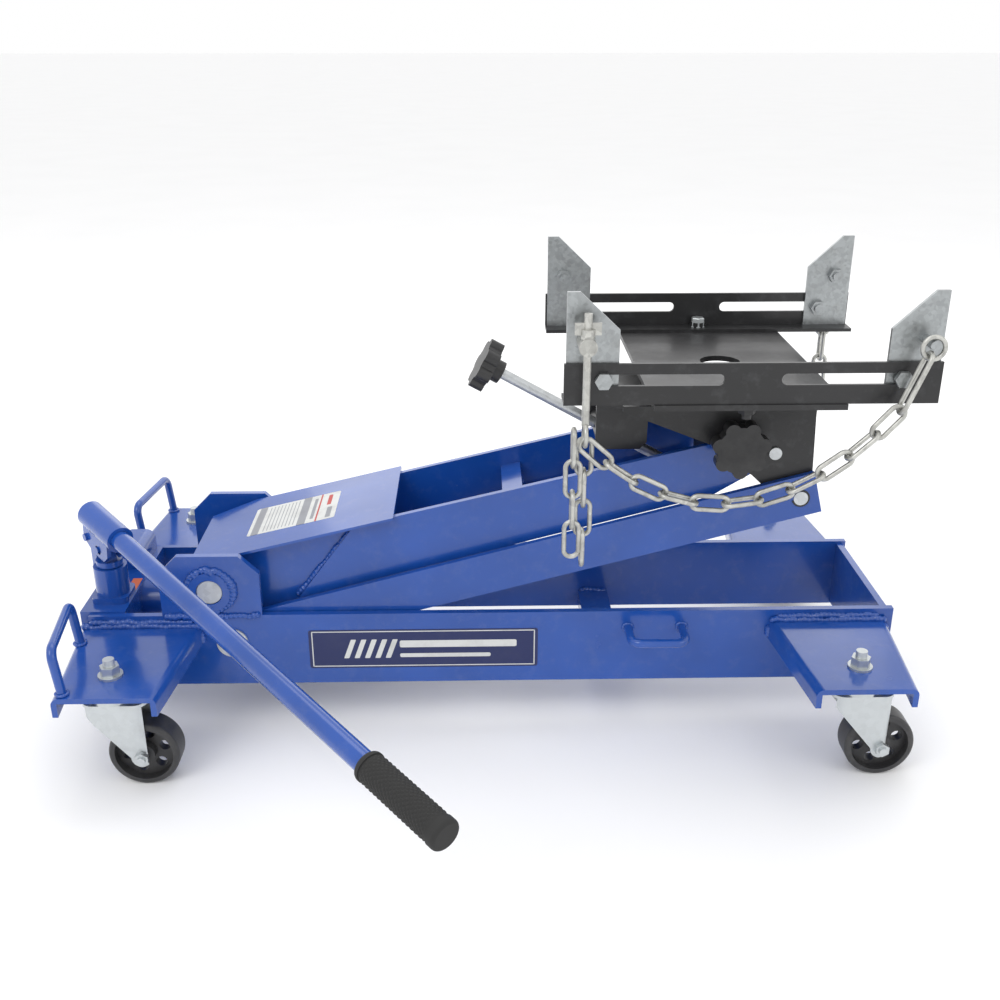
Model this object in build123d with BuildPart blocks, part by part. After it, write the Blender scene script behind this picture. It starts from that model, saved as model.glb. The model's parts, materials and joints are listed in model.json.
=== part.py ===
from build123d import *
from math import cos, cosh, radians, sin
import os

# Low-profile floor transmission jack: a steel chassis on four swivel casters, a hydraulic
# lift arm with levelling links, and a tilting saddle with sliding rails, corner brackets
# and a retaining chain.
# Frame: +X from the pump end to the saddle end, +Y to the jack's left, +Z up, millimetres.
# The origin is on the floor under the middle of the chassis.

RIGHT = -1
LEFT = 1
PUMP = -1
SADDLE = 1

# ---- chassis -------------------------------------------------------------------------
CHASSIS_LENGTH = 894.0
CHASSIS_WIDTH = 494.0
FRAME_WIDTH = 192.0
PLATE_THICKNESS = 8.0
PLATE_DEPTH = 90.0
PLATE_TOP = 141.0
PLATE_PAST_PUMP_END = 6.0
PLATE_PAST_SADDLE_END = 22.0
END_PLATE_INSET = 4.0
END_PLATE_DROP = 3.0
CROSSBAR_FROM_PUMP_END = 569.0
CROSSBAR_WIDTH = 38.0
CROSSBAR_HEIGHT = 20.0
CROSSBAR_LIFT = 3.0

OUTRIGGER_DROP = 13.0
OUTRIGGER_SHEET = 6.0
OUTRIGGER_FLANGE = 22.0
OUTRIGGER_TIP = 107.0
OUTRIGGER_ROOT = 137.0
OUTRIGGER_BEND = 8.0

ROD_DIAMETER = 10.0
CARRY_HANDLE_LENGTH = 104.0
CARRY_HANDLE_HEIGHT = 50.0
CARRY_HANDLE_INSET = 10.0
CARRY_HANDLE_SPLAY = 14.0
CARRY_HANDLE_LEAN = 5.0
CARRY_HANDLE_FROM_TIP = 9.0
GRAB_HANDLE_LENGTH = 62.0
GRAB_HANDLE_REACH = 38.0
GRAB_HANDLE_FROM_PUMP_END = 641.0
GRAB_HANDLE_DROP = 21.0
HANDLE_BEND = 12.0

# ---- casters -------------------------------------------------------------------------
KINGPIN_FROM_END = 49.0
KINGPIN_FROM_SIDE = 45.0
KINGPIN_RADIUS = 6.0
WHEEL_RADIUS = 38.0
WHEEL_WIDTH = 30.0
WHEEL_HUB_RADIUS = 12.0
WHEEL_RIM = 7.0
WHEEL_WEB = 10.0
WHEEL_HOLES = 6
WHEEL_HOLE_RADIUS = 6.0
WHEEL_SHOULDER = 4.0
CASTER_TRAIL = 28.0
AXLE_RADIUS = 5.0
FORK_SHEET = 3.5
FORK_GAP = 2.0
FORK_AHEAD = 31.0
FORK_BEHIND = 38.0
FORK_FOOT_RADIUS = 12.0
FORK_CROWN_TOP = 103.0
RACE_RADIUS = 23.0
RACE_HEIGHT = 6.0
RACE_GAP = 3.5

# ---- lift arm and levelling links ------------------------------------------------------
PIVOT_FROM_PUMP_END = 135.0
PIVOT_ABOVE_PLATE = 31.0
SHAFT_RADIUS = 15.0
EAR_LENGTH = 113.0
EAR_HEIGHT = 74.0
EAR_CORNER = 22.0
BOSS_RADIUS = 24.0
BOSS_STAND = 4.0
ARM_LENGTH = 664.0
ARM_ANGLE = 14.8
ARM_SHEET = 7.0
ARM_OUTER = 71.0
ARM_TOP_AT_PIVOT = 28.0
ARM_TOP_AT_TIP = 12.0
ARM_BOTTOM = 46.0
ARM_FLANGE = 20.0
ARM_BEND = 7.0
HUB_RADIUS = 22.0
LEVER_RADIUS = 60.0
LEVER_ANGLE = 12.1
COVER_SHEET = 3.0
COVER_LENGTH = 240.0
COVER_START = -18.0
COVER_WIDTH = 162.0
COVER_NOSE_WIDTH = 114.0
COVER_TAPER = 52.0
ARM_BAR_AT = 355.0
ARM_BAR_WIDTH = 24.0
ARM_BAR_HEIGHT = 18.0

LINK_OFFSET_X = 20.0
LINK_OFFSET_Z = -66.0
LINK_SHEET = 7.0
LINK_OUTER = 86.5
LINK_DEPTH = 48.0
LINK_AXIS_RISE = 2.0
LINK_END = 20.0
LINK_PIN_RADIUS = 15.0
LINK_PIN_HEAD_RADIUS = 18.0
LINK_PIN_HEAD = 2.5
LINK_TIP_PIN_RADIUS = 8.0

# ---- hydraulic unit --------------------------------------------------------------------
BLOCK_PAST_PUMP_END = 17.0
BLOCK_LENGTH = 51.0
BLOCK_HEIGHT = 80.0
BLOCK_STAND = 2.0
PEDESTAL_HEIGHT = 7.0
PUMP_RADIUS = 19.0
PUMP_HEIGHT = 34.0
PLUNGER_RADIUS = 9.0
PLUNGER_CAP_RADIUS = 15.0
TANK_LENGTH = 38.0
TANK_WIDTH = 60.0
TANK_HEIGHT = 27.0
TANK_BEND = 11.0
RAM_CYLINDER_RADIUS = 27.0
RAM_CYLINDER_LENGTH = 84.0
RAM_RADIUS = 16.0
RAM_ROD_LENGTH = 76.0
RAM_HEAD_LENGTH = 32.0
RAM_HEAD_WIDTH = 40.0
DRIVE_PIN_RADIUS = 9.0
DRIVE_PIN_PLAY = 0.8
DRIVE_SLOT_RISE = 8.0
VALVE_RADIUS = 5.0
VALVE_LENGTH = 20.0

# ---- pump lever ------------------------------------------------------------------------
LEVER_FROM_PUMP_END = 12.0
LEVER_SIDE = -50.0
LEVER_HEIGHT = 233.0
LEVER_AZIMUTH = -48.5
LEVER_INCLINE = -7.5
SOCKET_RADIUS = 15.5
SOCKET_BACK = 36.0
SOCKET_FRONT = 38.0
HANDLE_RADIUS = 11.0
HANDLE_WALL = 2.5
HANDLE_LENGTH = 598.0
GRIP_RADIUS = 15.5
GRIP_LENGTH = 108.0
FULCRUM_BACK = 26.0
FULCRUM_BELOW = 23.0
PLUNGER_PIN_AHEAD = 2.0
PLUNGER_PIN_BELOW = 27.0
PLUNGER_PIN_RADIUS = 4.0
PLUNGER_PIN_PLAY = 0.5
FULCRUM_PIN_RADIUS = 4.5
LUG_SHEET = 5.0
LUG_GAP = 13.0
LUG_DEPTH = 36.0

# ---- saddle ----------------------------------------------------------------------------
CARRIER_SHEET = 6.0
CARRIER_OUTER = 78.0
CARRIER_TOP_ABOVE_TIP = 25.0
CARRIER_AHEAD = 30.0
CARRIER_BACK = 78.0
TIP_PIN_RADIUS = 8.0
TILT_PIN_RADIUS = 7.0
TILT_BACK = 13.0
TILT_BELOW = 13.0
CRADLE_SHEET = 5.0
CRADLE_OUTER = 84.0
CRADLE_TOP = 383.0
GUSSET_LENGTH = 100.0
GUSSET_LIP = 6.0
YOKE_OUTER = 42.0
YOKE_FROM_TIP = 206.0
YOKE_LENGTH = 58.0
YOKE_DEPTH = 64.0
ROLL_AXIS_HEIGHT = 392.0
ROLL_PIN_RADIUS = 5.0
SCREW_RADIUS = 6.0
SCREW_SLOPE = 29.0
KNOB_RADIUS = 30.0
KNOB_LOBES = 7
KNOB_THICKNESS = 16.0
KNOB_HUB = 13.0
SCREW_KNOB_BEFORE_TRUNNION = 147.0
SCREW_PAST_TRUNNION = 100.0
SIDE_KNOB_RADIUS = 32.0
SIDE_KNOB_FROM_TIP = 57.0
SIDE_SCREW_BELOW_ROLL = 50.0

SADDLE_CENTRE_FROM_TIP = -63.0
SADDLE_PLATE_LENGTH = 196.0
SADDLE_PLATE_WIDTH = 322.0
SADDLE_PLATE_SHEET = 6.0
SADDLE_PLATE_TOP = 409.0
SADDLE_BORE_RADIUS = 22.5
RAIL_LENGTH = 379.0
RAIL_HEIGHT = 43.0
RAIL_SHEET = 4.0
RAIL_FLANGE = 30.0
RAIL_FACE = 159.0
RAIL_SLOT_LENGTH = 128.0
RAIL_SLOT_WIDTH = 12.0
RAIL_SLOT_INSET = 33.0
RAIL_SLOT_HEIGHT = 26.0
RAIL_TRAVEL = 5.0
RAIL_BOLT_RADIUS = 5.0
RAIL_BOLT_FROM_FACE = 16.0
BRACKET_WIDTH = 53.0
BRACKET_HEIGHT = 110.0
BRACKET_SHEET = 4.0
BRACKET_TOP = 13.0
BRACKET_INNER_HEIGHT = 72.0
BRACKET_BOLT_RADIUS = 5.0
BRACKET_ANCHOR_HEIGHT = 62.0
BRACKET_ANCHOR_OUT = 6.0
BRACKET_ANCHOR_INSET = 19.0

# ---- chain -----------------------------------------------------------------------------
CHAIN_WIRE = 5.0
CHAIN_LINK_LENGTH = 44.0
CHAIN_LINK_WIDTH = 20.0
CHAIN_PLAY = 0.6
CHAIN_OFFSET = 17.5
CHAIN_TAIL_LINKS = 4
SPARE_CHAIN_LINKS = 4
DRAPE_LINKS = 11
DRAPE_SIZE = 162.0
DRAPE_LOW_BEFORE_CENTRE = 27.0
RING_RADIUS = 11.0
BARREL_RADIUS = 9.0
HOOK_ROD_RADIUS = 4.0
HOOK_ROD_ABOVE = 32.0
HOOK_ROD_BELOW = 80.0
WING_NUT_WIDTH = 26.0

# ---- clearances ------------------------------------------------------------------------
RUNNING_FIT = 0.05
BOLT_PLAY = 0.5
FACE_PLAY = 1.0

# ---- derived positions -----------------------------------------------------------------
PUMP_END_X = -CHASSIS_LENGTH / 2
FRAME_OUTER = FRAME_WIDTH / 2
FRAME_INNER = FRAME_OUTER - PLATE_THICKNESS
PLATE_BOTTOM = PLATE_TOP - PLATE_DEPTH
OUTRIGGER_TOP = PLATE_TOP - OUTRIGGER_DROP
OUTRIGGER_UNDERSIDE = OUTRIGGER_TOP - OUTRIGGER_SHEET
KINGPIN_X = CHASSIS_LENGTH / 2 - KINGPIN_FROM_END
KINGPIN_Y = CHASSIS_WIDTH / 2 - KINGPIN_FROM_SIDE

PIVOT_X = PUMP_END_X + PIVOT_FROM_PUMP_END
PIVOT_Z = PLATE_TOP + PIVOT_ABOVE_PLATE
ARM_ALONG = Vector(cos(radians(ARM_ANGLE)), 0, sin(radians(ARM_ANGLE)))
ARM_UP = Vector(-sin(radians(ARM_ANGLE)), 0, cos(radians(ARM_ANGLE)))
ARM_INNER = ARM_OUTER - ARM_SHEET
TIP_X = PIVOT_X + ARM_LENGTH * cos(radians(ARM_ANGLE))
TIP_Z = PIVOT_Z + ARM_LENGTH * sin(radians(ARM_ANGLE))
LINK_ROOT_X = PIVOT_X + LINK_OFFSET_X
LINK_ROOT_Z = PIVOT_Z + LINK_OFFSET_Z
LINK_TIP_X = TIP_X + LINK_OFFSET_X
LINK_TIP_Z = TIP_Z + LINK_OFFSET_Z
LINK_INNER = LINK_OUTER - LINK_SHEET
DRIVE_PIN_X = PIVOT_X - LEVER_RADIUS * sin(radians(LEVER_ANGLE))
DRIVE_PIN_Z = PIVOT_Z - LEVER_RADIUS * cos(radians(LEVER_ANGLE))

BLOCK_START_X = PUMP_END_X - BLOCK_PAST_PUMP_END
BLOCK_END_X = BLOCK_START_X + BLOCK_LENGTH
BLOCK_TOP = PLATE_TOP + BLOCK_STAND
PEDESTAL_TOP = BLOCK_TOP + PEDESTAL_HEIGHT
PUMP_TOP = PEDESTAL_TOP + PUMP_HEIGHT
RAM_Z = DRIVE_PIN_Z + 1.0
RAM_CYLINDER_START_X = BLOCK_END_X - 30.0

LEVER_ORIGIN = Vector(PUMP_END_X + LEVER_FROM_PUMP_END, LEVER_SIDE, LEVER_HEIGHT)
LEVER_ALONG = Vector(1, 0, 0).rotate(Axis.Y, -LEVER_INCLINE).rotate(Axis.Z, LEVER_AZIMUTH)
LEVER_UP = Vector(0, 0, 1).rotate(Axis.Y, -LEVER_INCLINE).rotate(Axis.Z, LEVER_AZIMUTH)
LEVER_AXIS = LEVER_ALONG.cross(LEVER_UP)
LEVER_FLAT = Vector(1, 0, 0).rotate(Axis.Z, LEVER_AZIMUTH)
FULCRUM = LEVER_ORIGIN - LEVER_ALONG * FULCRUM_BACK - LEVER_UP * FULCRUM_BELOW
PLUNGER_PIN = LEVER_ORIGIN + LEVER_ALONG * PLUNGER_PIN_AHEAD - LEVER_UP * PLUNGER_PIN_BELOW
LUG_HALF_GAP = LUG_GAP / 2
LUG_OUTER = LUG_HALF_GAP + LUG_SHEET

CARRIER_INNER = CARRIER_OUTER - CARRIER_SHEET
CARRIER_TOP = TIP_Z + CARRIER_TOP_ABOVE_TIP
TILT_X = TIP_X - TILT_BACK
TILT_Z = TIP_Z - TILT_BELOW
CRADLE_INNER = CRADLE_OUTER - CRADLE_SHEET
YOKE_INNER = YOKE_OUTER - CRADLE_SHEET
YOKE_X = TIP_X - YOKE_FROM_TIP
SADDLE_X = TIP_X + SADDLE_CENTRE_FROM_TIP
SADDLE_PLATE_BOTTOM = SADDLE_PLATE_TOP - SADDLE_PLATE_SHEET
RAIL_BASE = SADDLE_PLATE_TOP
BRACKET_FACE = RAIL_FACE - RAIL_SHEET
BRACKET_BASE = RAIL_BASE + RAIL_SHEET
BRACKET_X = RAIL_LENGTH / 2 - BRACKET_WIDTH / 2 - 2.0
SLOT_MIDDLE_X = RAIL_LENGTH / 2 - RAIL_SLOT_INSET - RAIL_SLOT_LENGTH / 2
BRACKET_BOLT_X = RAIL_LENGTH / 2 - RAIL_SLOT_INSET - RAIL_SLOT_WIDTH / 2 - BOLT_PLAY
BOLT_HEIGHT = RAIL_BASE + RAIL_SLOT_HEIGHT
HOLD = 0.5


def name_of(side):
    return "right" if side == RIGHT else "left"


def end_of(end):
    return "pump" if end == PUMP else "saddle"


def upright(side, inner):
    """Plane of a plate that stands lengthwise, with its inner face at |Y| = inner.

    Extruding from it goes outwards, away from the middle of the jack.
    """
    return Plane(origin=(0, side * inner, 0), x_dir=(1, 0, 0), z_dir=(0, side, 0))


def flat(side, x, z):
    """A point of an upright plane given by its X and Z."""
    return (x, -side * z)


def along_arm(side, inner):
    """Plane of an arm plate: x runs from the pivot to the tip, y as `tall` gives it."""
    origin = (PIVOT_X, side * inner, PIVOT_Z)
    return Plane(origin=origin, x_dir=ARM_ALONG, z_dir=(0, side, 0))


def tall(side, along, up):
    """A point of an arm or link plane: distance along it and height above its axis."""
    return (along, -side * up)


def outline(side, points, place):
    """Polygon through points given in the place's own coordinates."""
    return [place(side, a, b) for a, b in points]


def export(piece, label):
    piece.label = label
    export_step(piece, f"parts/{label}.step")
    print(label, round(piece.volume / 1000, 2), "cm3")


os.makedirs("parts", exist_ok=True)


# ---- chassis ---------------------------------------------------------------------------
def make_side_plate(side):
    """Flat bar on edge with a hole for the link pivot pin."""
    length = CHASSIS_LENGTH + PLATE_PAST_PUMP_END + PLATE_PAST_SADDLE_END
    middle = (PLATE_PAST_SADDLE_END - PLATE_PAST_PUMP_END) / 2
    with BuildPart() as side_plate:
        with BuildSketch(upright(side, FRAME_INNER)):
            with Locations(flat(side, middle, PLATE_TOP - PLATE_DEPTH / 2)):
                Rectangle(length, PLATE_DEPTH)
            with Locations(flat(side, LINK_ROOT_X, LINK_ROOT_Z)):
                Circle(LINK_PIN_RADIUS, mode=Mode.SUBTRACT)
        extrude(amount=PLATE_THICKNESS)
    return side_plate.part


def make_pivot_ear(side):
    """Plate welded on the side plate, with a boss ring that holds the pivot shaft."""
    half = EAR_LENGTH / 2
    top = PLATE_TOP + EAR_HEIGHT
    points = [
        (PIVOT_X - half, PLATE_TOP),
        (PIVOT_X + half, PLATE_TOP),
        (PIVOT_X + half, top - EAR_CORNER),
        (PIVOT_X + half - EAR_CORNER, top),
        (PIVOT_X - half + EAR_CORNER, top),
        (PIVOT_X - half, top - EAR_CORNER),
    ]
    with BuildPart() as pivot_ear:
        with BuildSketch(upright(side, FRAME_INNER)):
            Polygon(*outline(side, points, flat), align=None)
        extrude(amount=PLATE_THICKNESS)
        with BuildSketch(upright(side, FRAME_INNER)):
            with Locations(flat(side, PIVOT_X, PIVOT_Z)):
                Circle(BOSS_RADIUS)
        extrude(amount=PLATE_THICKNESS + BOSS_STAND)
        with BuildSketch(upright(side, FRAME_INNER)):
            with Locations(flat(side, PIVOT_X, PIVOT_Z)):
                Circle(SHAFT_RADIUS)
        extrude(amount=PLATE_THICKNESS + BOSS_STAND, mode=Mode.SUBTRACT)
    return pivot_ear.part


def make_outrigger(end, side):
    """Tapered pressed channel, open downwards, that carries one caster."""
    tip_y = side * CHASSIS_WIDTH / 2
    root_y = side * FRAME_OUTER
    middle = end * (CHASSIS_LENGTH - OUTRIGGER_TIP) / 2

    def plan(inset):
        return [
            (middle - OUTRIGGER_TIP / 2 + inset, tip_y),
            (middle + OUTRIGGER_TIP / 2 - inset, tip_y),
            (middle + OUTRIGGER_ROOT / 2 - inset, root_y),
            (middle - OUTRIGGER_ROOT / 2 + inset, root_y),
        ]

    bottom = OUTRIGGER_TOP - OUTRIGGER_FLANGE
    with BuildPart() as outrigger:
        with BuildSketch(Plane.XY.offset(bottom)):
            Polygon(*plan(0), align=None)
        extrude(amount=OUTRIGGER_FLANGE)
        top_edges = outrigger.faces().sort_by(Axis.Z)[-1].edges()
        fillet(top_edges.sort_by(Axis.X)[0], radius=OUTRIGGER_BEND)
        top_edges = outrigger.faces().sort_by(Axis.Z)[-1].edges()
        fillet(top_edges.sort_by(Axis.X)[-1], radius=OUTRIGGER_BEND)
        with BuildSketch(Plane.XY.offset(bottom)):
            Polygon(*plan(OUTRIGGER_SHEET), align=None)
        extrude(amount=OUTRIGGER_FLANGE - OUTRIGGER_SHEET, mode=Mode.SUBTRACT)
        with BuildSketch(Plane.XY.offset(OUTRIGGER_UNDERSIDE)):
            with Locations((end * KINGPIN_X, side * KINGPIN_Y)):
                Circle(KINGPIN_RADIUS + BOLT_PLAY)
        extrude(amount=OUTRIGGER_SHEET, mode=Mode.SUBTRACT)
    return outrigger.part


with BuildPart() as end_crossplate:
    with BuildSketch(Plane.YZ.offset(CHASSIS_LENGTH / 2 + PLATE_PAST_SADDLE_END - END_PLATE_INSET)):
        with Locations((0, PLATE_TOP - END_PLATE_DROP - (PLATE_DEPTH - 2 * END_PLATE_DROP) / 2)):
            Rectangle(2 * FRAME_INNER, PLATE_DEPTH - 2 * END_PLATE_DROP)
    extrude(amount=-PLATE_THICKNESS)

with BuildPart() as mid_crossbar:
    with BuildSketch(Plane.XY.offset(PLATE_BOTTOM + CROSSBAR_LIFT)):
        with Locations((PUMP_END_X + CROSSBAR_FROM_PUMP_END + CROSSBAR_WIDTH / 2, 0)):
            Rectangle(CROSSBAR_WIDTH, 2 * FRAME_INNER)
    extrude(amount=CROSSBAR_HEIGHT)

for side in (RIGHT, LEFT):
    export(make_side_plate(side), f"side_plate_{name_of(side)}")
    export(make_pivot_ear(side), f"pivot_ear_{name_of(side)}")
    for end in (PUMP, SADDLE):
        export(make_outrigger(end, side), f"outrigger_{end_of(end)}_{name_of(side)}")
export(end_crossplate.part, "end_crossplate")
export(mid_crossbar.part, "mid_crossbar")

# Bent-rod carry handles stand on the pump-end outriggers, leaning outwards.
with BuildPart() as carry_handles:
    for side in (RIGHT, LEFT):
        foot_x = PUMP_END_X + CARRY_HANDLE_INSET
        inner_x = foot_x - CARRY_HANDLE_SPLAY
        near_y = side * (CHASSIS_WIDTH / 2 - CARRY_HANDLE_FROM_TIP)
        far_y = near_y - side * CARRY_HANDLE_LENGTH
        head_z = OUTRIGGER_TOP + CARRY_HANDLE_HEIGHT
        with BuildLine() as carry_path:
            FilletPolyline(
                (foot_x, near_y, OUTRIGGER_TOP),
                (foot_x - CARRY_HANDLE_LEAN, near_y, head_z),
                (inner_x - CARRY_HANDLE_LEAN, far_y, head_z),
                (inner_x, far_y, OUTRIGGER_TOP),
                radius=HANDLE_BEND,
            )
        with BuildSketch(Plane(origin=carry_path.line @ 0, z_dir=carry_path.line % 0)):
            Circle(ROD_DIAMETER / 2)
        sweep()
    with BuildSketch(Plane.XY.offset(OUTRIGGER_UNDERSIDE)):
        Rectangle(2 * CHASSIS_LENGTH, 2 * CHASSIS_WIDTH)
    extrude(amount=OUTRIGGER_SHEET, mode=Mode.SUBTRACT)
export(carry_handles.part, "carry_handles")

# Bent-rod grab handles stand out from the side plates.
with BuildPart() as grab_handles:
    for side in (RIGHT, LEFT):
        grab_x = PUMP_END_X + GRAB_HANDLE_FROM_PUMP_END
        grab_z = PLATE_TOP - GRAB_HANDLE_DROP
        root_y = side * FRAME_OUTER
        head_y = side * (FRAME_OUTER + GRAB_HANDLE_REACH)
        with BuildLine() as grab_path:
            FilletPolyline(
                (grab_x - GRAB_HANDLE_LENGTH / 2, root_y, grab_z),
                (grab_x - GRAB_HANDLE_LENGTH / 2, head_y, grab_z),
                (grab_x + GRAB_HANDLE_LENGTH / 2, head_y, grab_z),
                (grab_x + GRAB_HANDLE_LENGTH / 2, root_y, grab_z),
                radius=HANDLE_BEND,
            )
        with BuildSketch(Plane(origin=grab_path.line @ 0, z_dir=grab_path.line % 0)):
            Circle(ROD_DIAMETER / 2)
        sweep()
export(grab_handles.part, "grab_handles")

# The main pivot shaft spans both ears, and a stub pin in each side plate carries one link.
with BuildPart() as pivot_pins:
    shaft_end = FRAME_OUTER + BOSS_STAND - 1.0
    with BuildSketch(Plane.XZ.offset(-shaft_end)):
        with Locations((PIVOT_X, PIVOT_Z)):
            Circle(SHAFT_RADIUS)
    extrude(amount=2 * shaft_end)
    for side in (RIGHT, LEFT):
        with BuildSketch(upright(side, LINK_INNER - FACE_PLAY)):
            with Locations(flat(side, LINK_ROOT_X, LINK_ROOT_Z)):
                Circle(LINK_PIN_RADIUS)
        extrude(amount=FRAME_OUTER + 1.0 - LINK_INNER + FACE_PLAY)
    chamfer(pivot_pins.faces().filter_by(Axis.Y).edges(), length=1.0)
    for side in (RIGHT, LEFT):
        with BuildSketch(upright(side, FRAME_OUTER)):
            with Locations(flat(side, LINK_ROOT_X, LINK_ROOT_Z)):
                Circle(LINK_PIN_HEAD_RADIUS)
        extrude(amount=LINK_PIN_HEAD)
export(pivot_pins.part, "pivot_pins")


# ---- casters ---------------------------------------------------------------------------
def make_wheel(end, side):
    """Cast wheel with a recessed, drilled web on both sides."""
    x = end * KINGPIN_X + CASTER_TRAIL
    y = side * KINGPIN_Y
    half = WHEEL_WIDTH / 2
    web = WHEEL_WEB / 2
    rim = WHEEL_RADIUS - WHEEL_RIM
    with BuildPart() as wheel:
        with BuildSketch(Plane.YZ.offset(x)) as section:
            with BuildLine():
                Polyline(
                    (y - half, WHEEL_RADIUS + AXLE_RADIUS + RUNNING_FIT),
                    (y - half, WHEEL_RADIUS + WHEEL_HUB_RADIUS),
                    (y - web, WHEEL_RADIUS + WHEEL_HUB_RADIUS),
                    (y - web, WHEEL_RADIUS + rim),
                    (y - half, WHEEL_RADIUS + rim),
                    (y - half, 2 * WHEEL_RADIUS),
                    (y + half, 2 * WHEEL_RADIUS),
                    (y + half, WHEEL_RADIUS + rim),
                    (y + web, WHEEL_RADIUS + rim),
                    (y + web, WHEEL_RADIUS + WHEEL_HUB_RADIUS),
                    (y + half, WHEEL_RADIUS + WHEEL_HUB_RADIUS),
                    (y + half, WHEEL_RADIUS + AXLE_RADIUS + RUNNING_FIT),
                    close=True,
                )
            make_face()
            shoulders = section.vertices().group_by(Axis.Y)[-1]
            fillet(shoulders, radius=WHEEL_SHOULDER)
        revolve(axis=Axis((x, y, WHEEL_RADIUS), (0, 1, 0)))
        hole_circle = (WHEEL_HUB_RADIUS + rim) / 2
        with BuildSketch(Plane.XZ.offset(-y - half)):
            with Locations((x, WHEEL_RADIUS)):
                with PolarLocations(hole_circle, WHEEL_HOLES, start_angle=15):
                    Circle(WHEEL_HOLE_RADIUS)
        extrude(amount=WHEEL_WIDTH, mode=Mode.SUBTRACT)
    return wheel.part


def make_fork(end, side):
    """Pressed swivel fork with its lower race, and the axle bolt and nut as own solids."""
    x = end * KINGPIN_X
    y = side * KINGPIN_Y
    axle_x = x + CASTER_TRAIL
    inner = WHEEL_WIDTH / 2 + FORK_GAP
    outer = inner + FORK_SHEET
    crown_underside = FORK_CROWN_TOP - FORK_SHEET
    with BuildPart() as fork:
        with BuildSketch(Plane.XZ.offset(-y - outer)):
            with BuildLine():
                Polyline(
                    (x - FORK_AHEAD, FORK_CROWN_TOP),
                    (x + FORK_BEHIND, FORK_CROWN_TOP),
                    (axle_x + FORK_FOOT_RADIUS, WHEEL_RADIUS),
                    (axle_x - FORK_FOOT_RADIUS, WHEEL_RADIUS),
                    (x - FORK_AHEAD, FORK_CROWN_TOP - 8.0),
                    close=True,
                )
            make_face()
            with Locations((axle_x, WHEEL_RADIUS)):
                Circle(FORK_FOOT_RADIUS)
        extrude(amount=2 * outer)
        with BuildSketch(Plane.XY):
            with Locations((x + (FORK_BEHIND - FORK_AHEAD) / 2, y)):
                RectangleRounded(FORK_AHEAD + FORK_BEHIND, 2 * outer, outer * 0.7)
        extrude(amount=FORK_CROWN_TOP, mode=Mode.INTERSECT)
        with BuildSketch(Plane.XY):
            with Locations((x + (FORK_BEHIND - FORK_AHEAD) / 2, y)):
                Rectangle(2 * (FORK_AHEAD + FORK_BEHIND), 2 * inner)
        extrude(amount=crown_underside, mode=Mode.SUBTRACT)
        with BuildSketch(Plane.XY.offset(FORK_CROWN_TOP)):
            with Locations((x, y)):
                Circle(RACE_RADIUS)
        extrude(amount=RACE_HEIGHT)
        with BuildSketch(Plane.XY.offset(crown_underside)):
            with Locations((x, y)):
                Circle(KINGPIN_RADIUS + RUNNING_FIT)
        extrude(amount=FORK_SHEET + RACE_HEIGHT, mode=Mode.SUBTRACT)
        with BuildSketch(Plane.XZ.offset(-y - outer)):
            with Locations((axle_x, WHEEL_RADIUS)):
                Circle(AXLE_RADIUS)
        extrude(amount=2 * outer, mode=Mode.SUBTRACT)
    with BuildPart() as axle:
        with BuildSketch(Plane.XZ.offset(-y - outer)):
            with Locations((axle_x, WHEEL_RADIUS)):
                Circle(AXLE_RADIUS)
        extrude(amount=2 * outer)
        for face in (-1, 1):
            with BuildSketch(Plane(origin=(axle_x, y + face * outer, WHEEL_RADIUS), z_dir=(0, face, 0))):
                RegularPolygon(radius=8.0, side_count=6)
            extrude(amount=5.0)
            with BuildSketch(Plane(origin=(axle_x, y + face * outer, WHEEL_RADIUS), z_dir=(0, face, 0))):
                Circle(AXLE_RADIUS - 0.5)
            extrude(amount=8.0 if face == side else 5.0)
    return Compound(children=[fork.part.solid(), axle.part.solid()])


for side in (RIGHT, LEFT):
    for end in (PUMP, SADDLE):
        export(make_wheel(end, side), f"caster_wheel_{end_of(end)}_{name_of(side)}")
        export(make_fork(end, side), f"caster_fork_{end_of(end)}_{name_of(side)}")

# Each kingpin is a bolt with its upper race, washers and nut, fixed in its outrigger.
with BuildPart() as caster_kingpins:
    kingpin_places = [(end * KINGPIN_X, side * KINGPIN_Y) for end in (PUMP, SADDLE) for side in (RIGHT, LEFT)]
    race_bottom = FORK_CROWN_TOP + RACE_HEIGHT + RACE_GAP
    with BuildSketch(Plane.XY.offset(race_bottom)):
        with Locations(*kingpin_places):
            Circle(RACE_RADIUS + 3.0)
    extrude(amount=OUTRIGGER_UNDERSIDE - race_bottom, taper=25)
    with BuildSketch(Plane.XY.offset(OUTRIGGER_TOP)):
        with Locations(*kingpin_places):
            Circle(13.0)
    extrude(amount=2.5)
    with BuildSketch(Plane.XY.offset(OUTRIGGER_TOP + 2.5)):
        with Locations(*kingpin_places):
            RegularPolygon(radius=10.5, side_count=6)
    extrude(amount=10.0)
    head_top = FORK_CROWN_TOP - FORK_SHEET - HOLD
    with BuildSketch(Plane.XY.offset(head_top - 6.0)):
        with Locations(*kingpin_places):
            RegularPolygon(radius=10.0, side_count=6)
    extrude(amount=6.0)
    with BuildSketch(Plane.XY.offset(head_top - 3.0)):
        with Locations(*kingpin_places):
            Circle(KINGPIN_RADIUS)
    extrude(amount=OUTRIGGER_TOP + 20.0 - head_top + 3.0)
export(caster_kingpins.part, "caster_kingpins")

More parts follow.
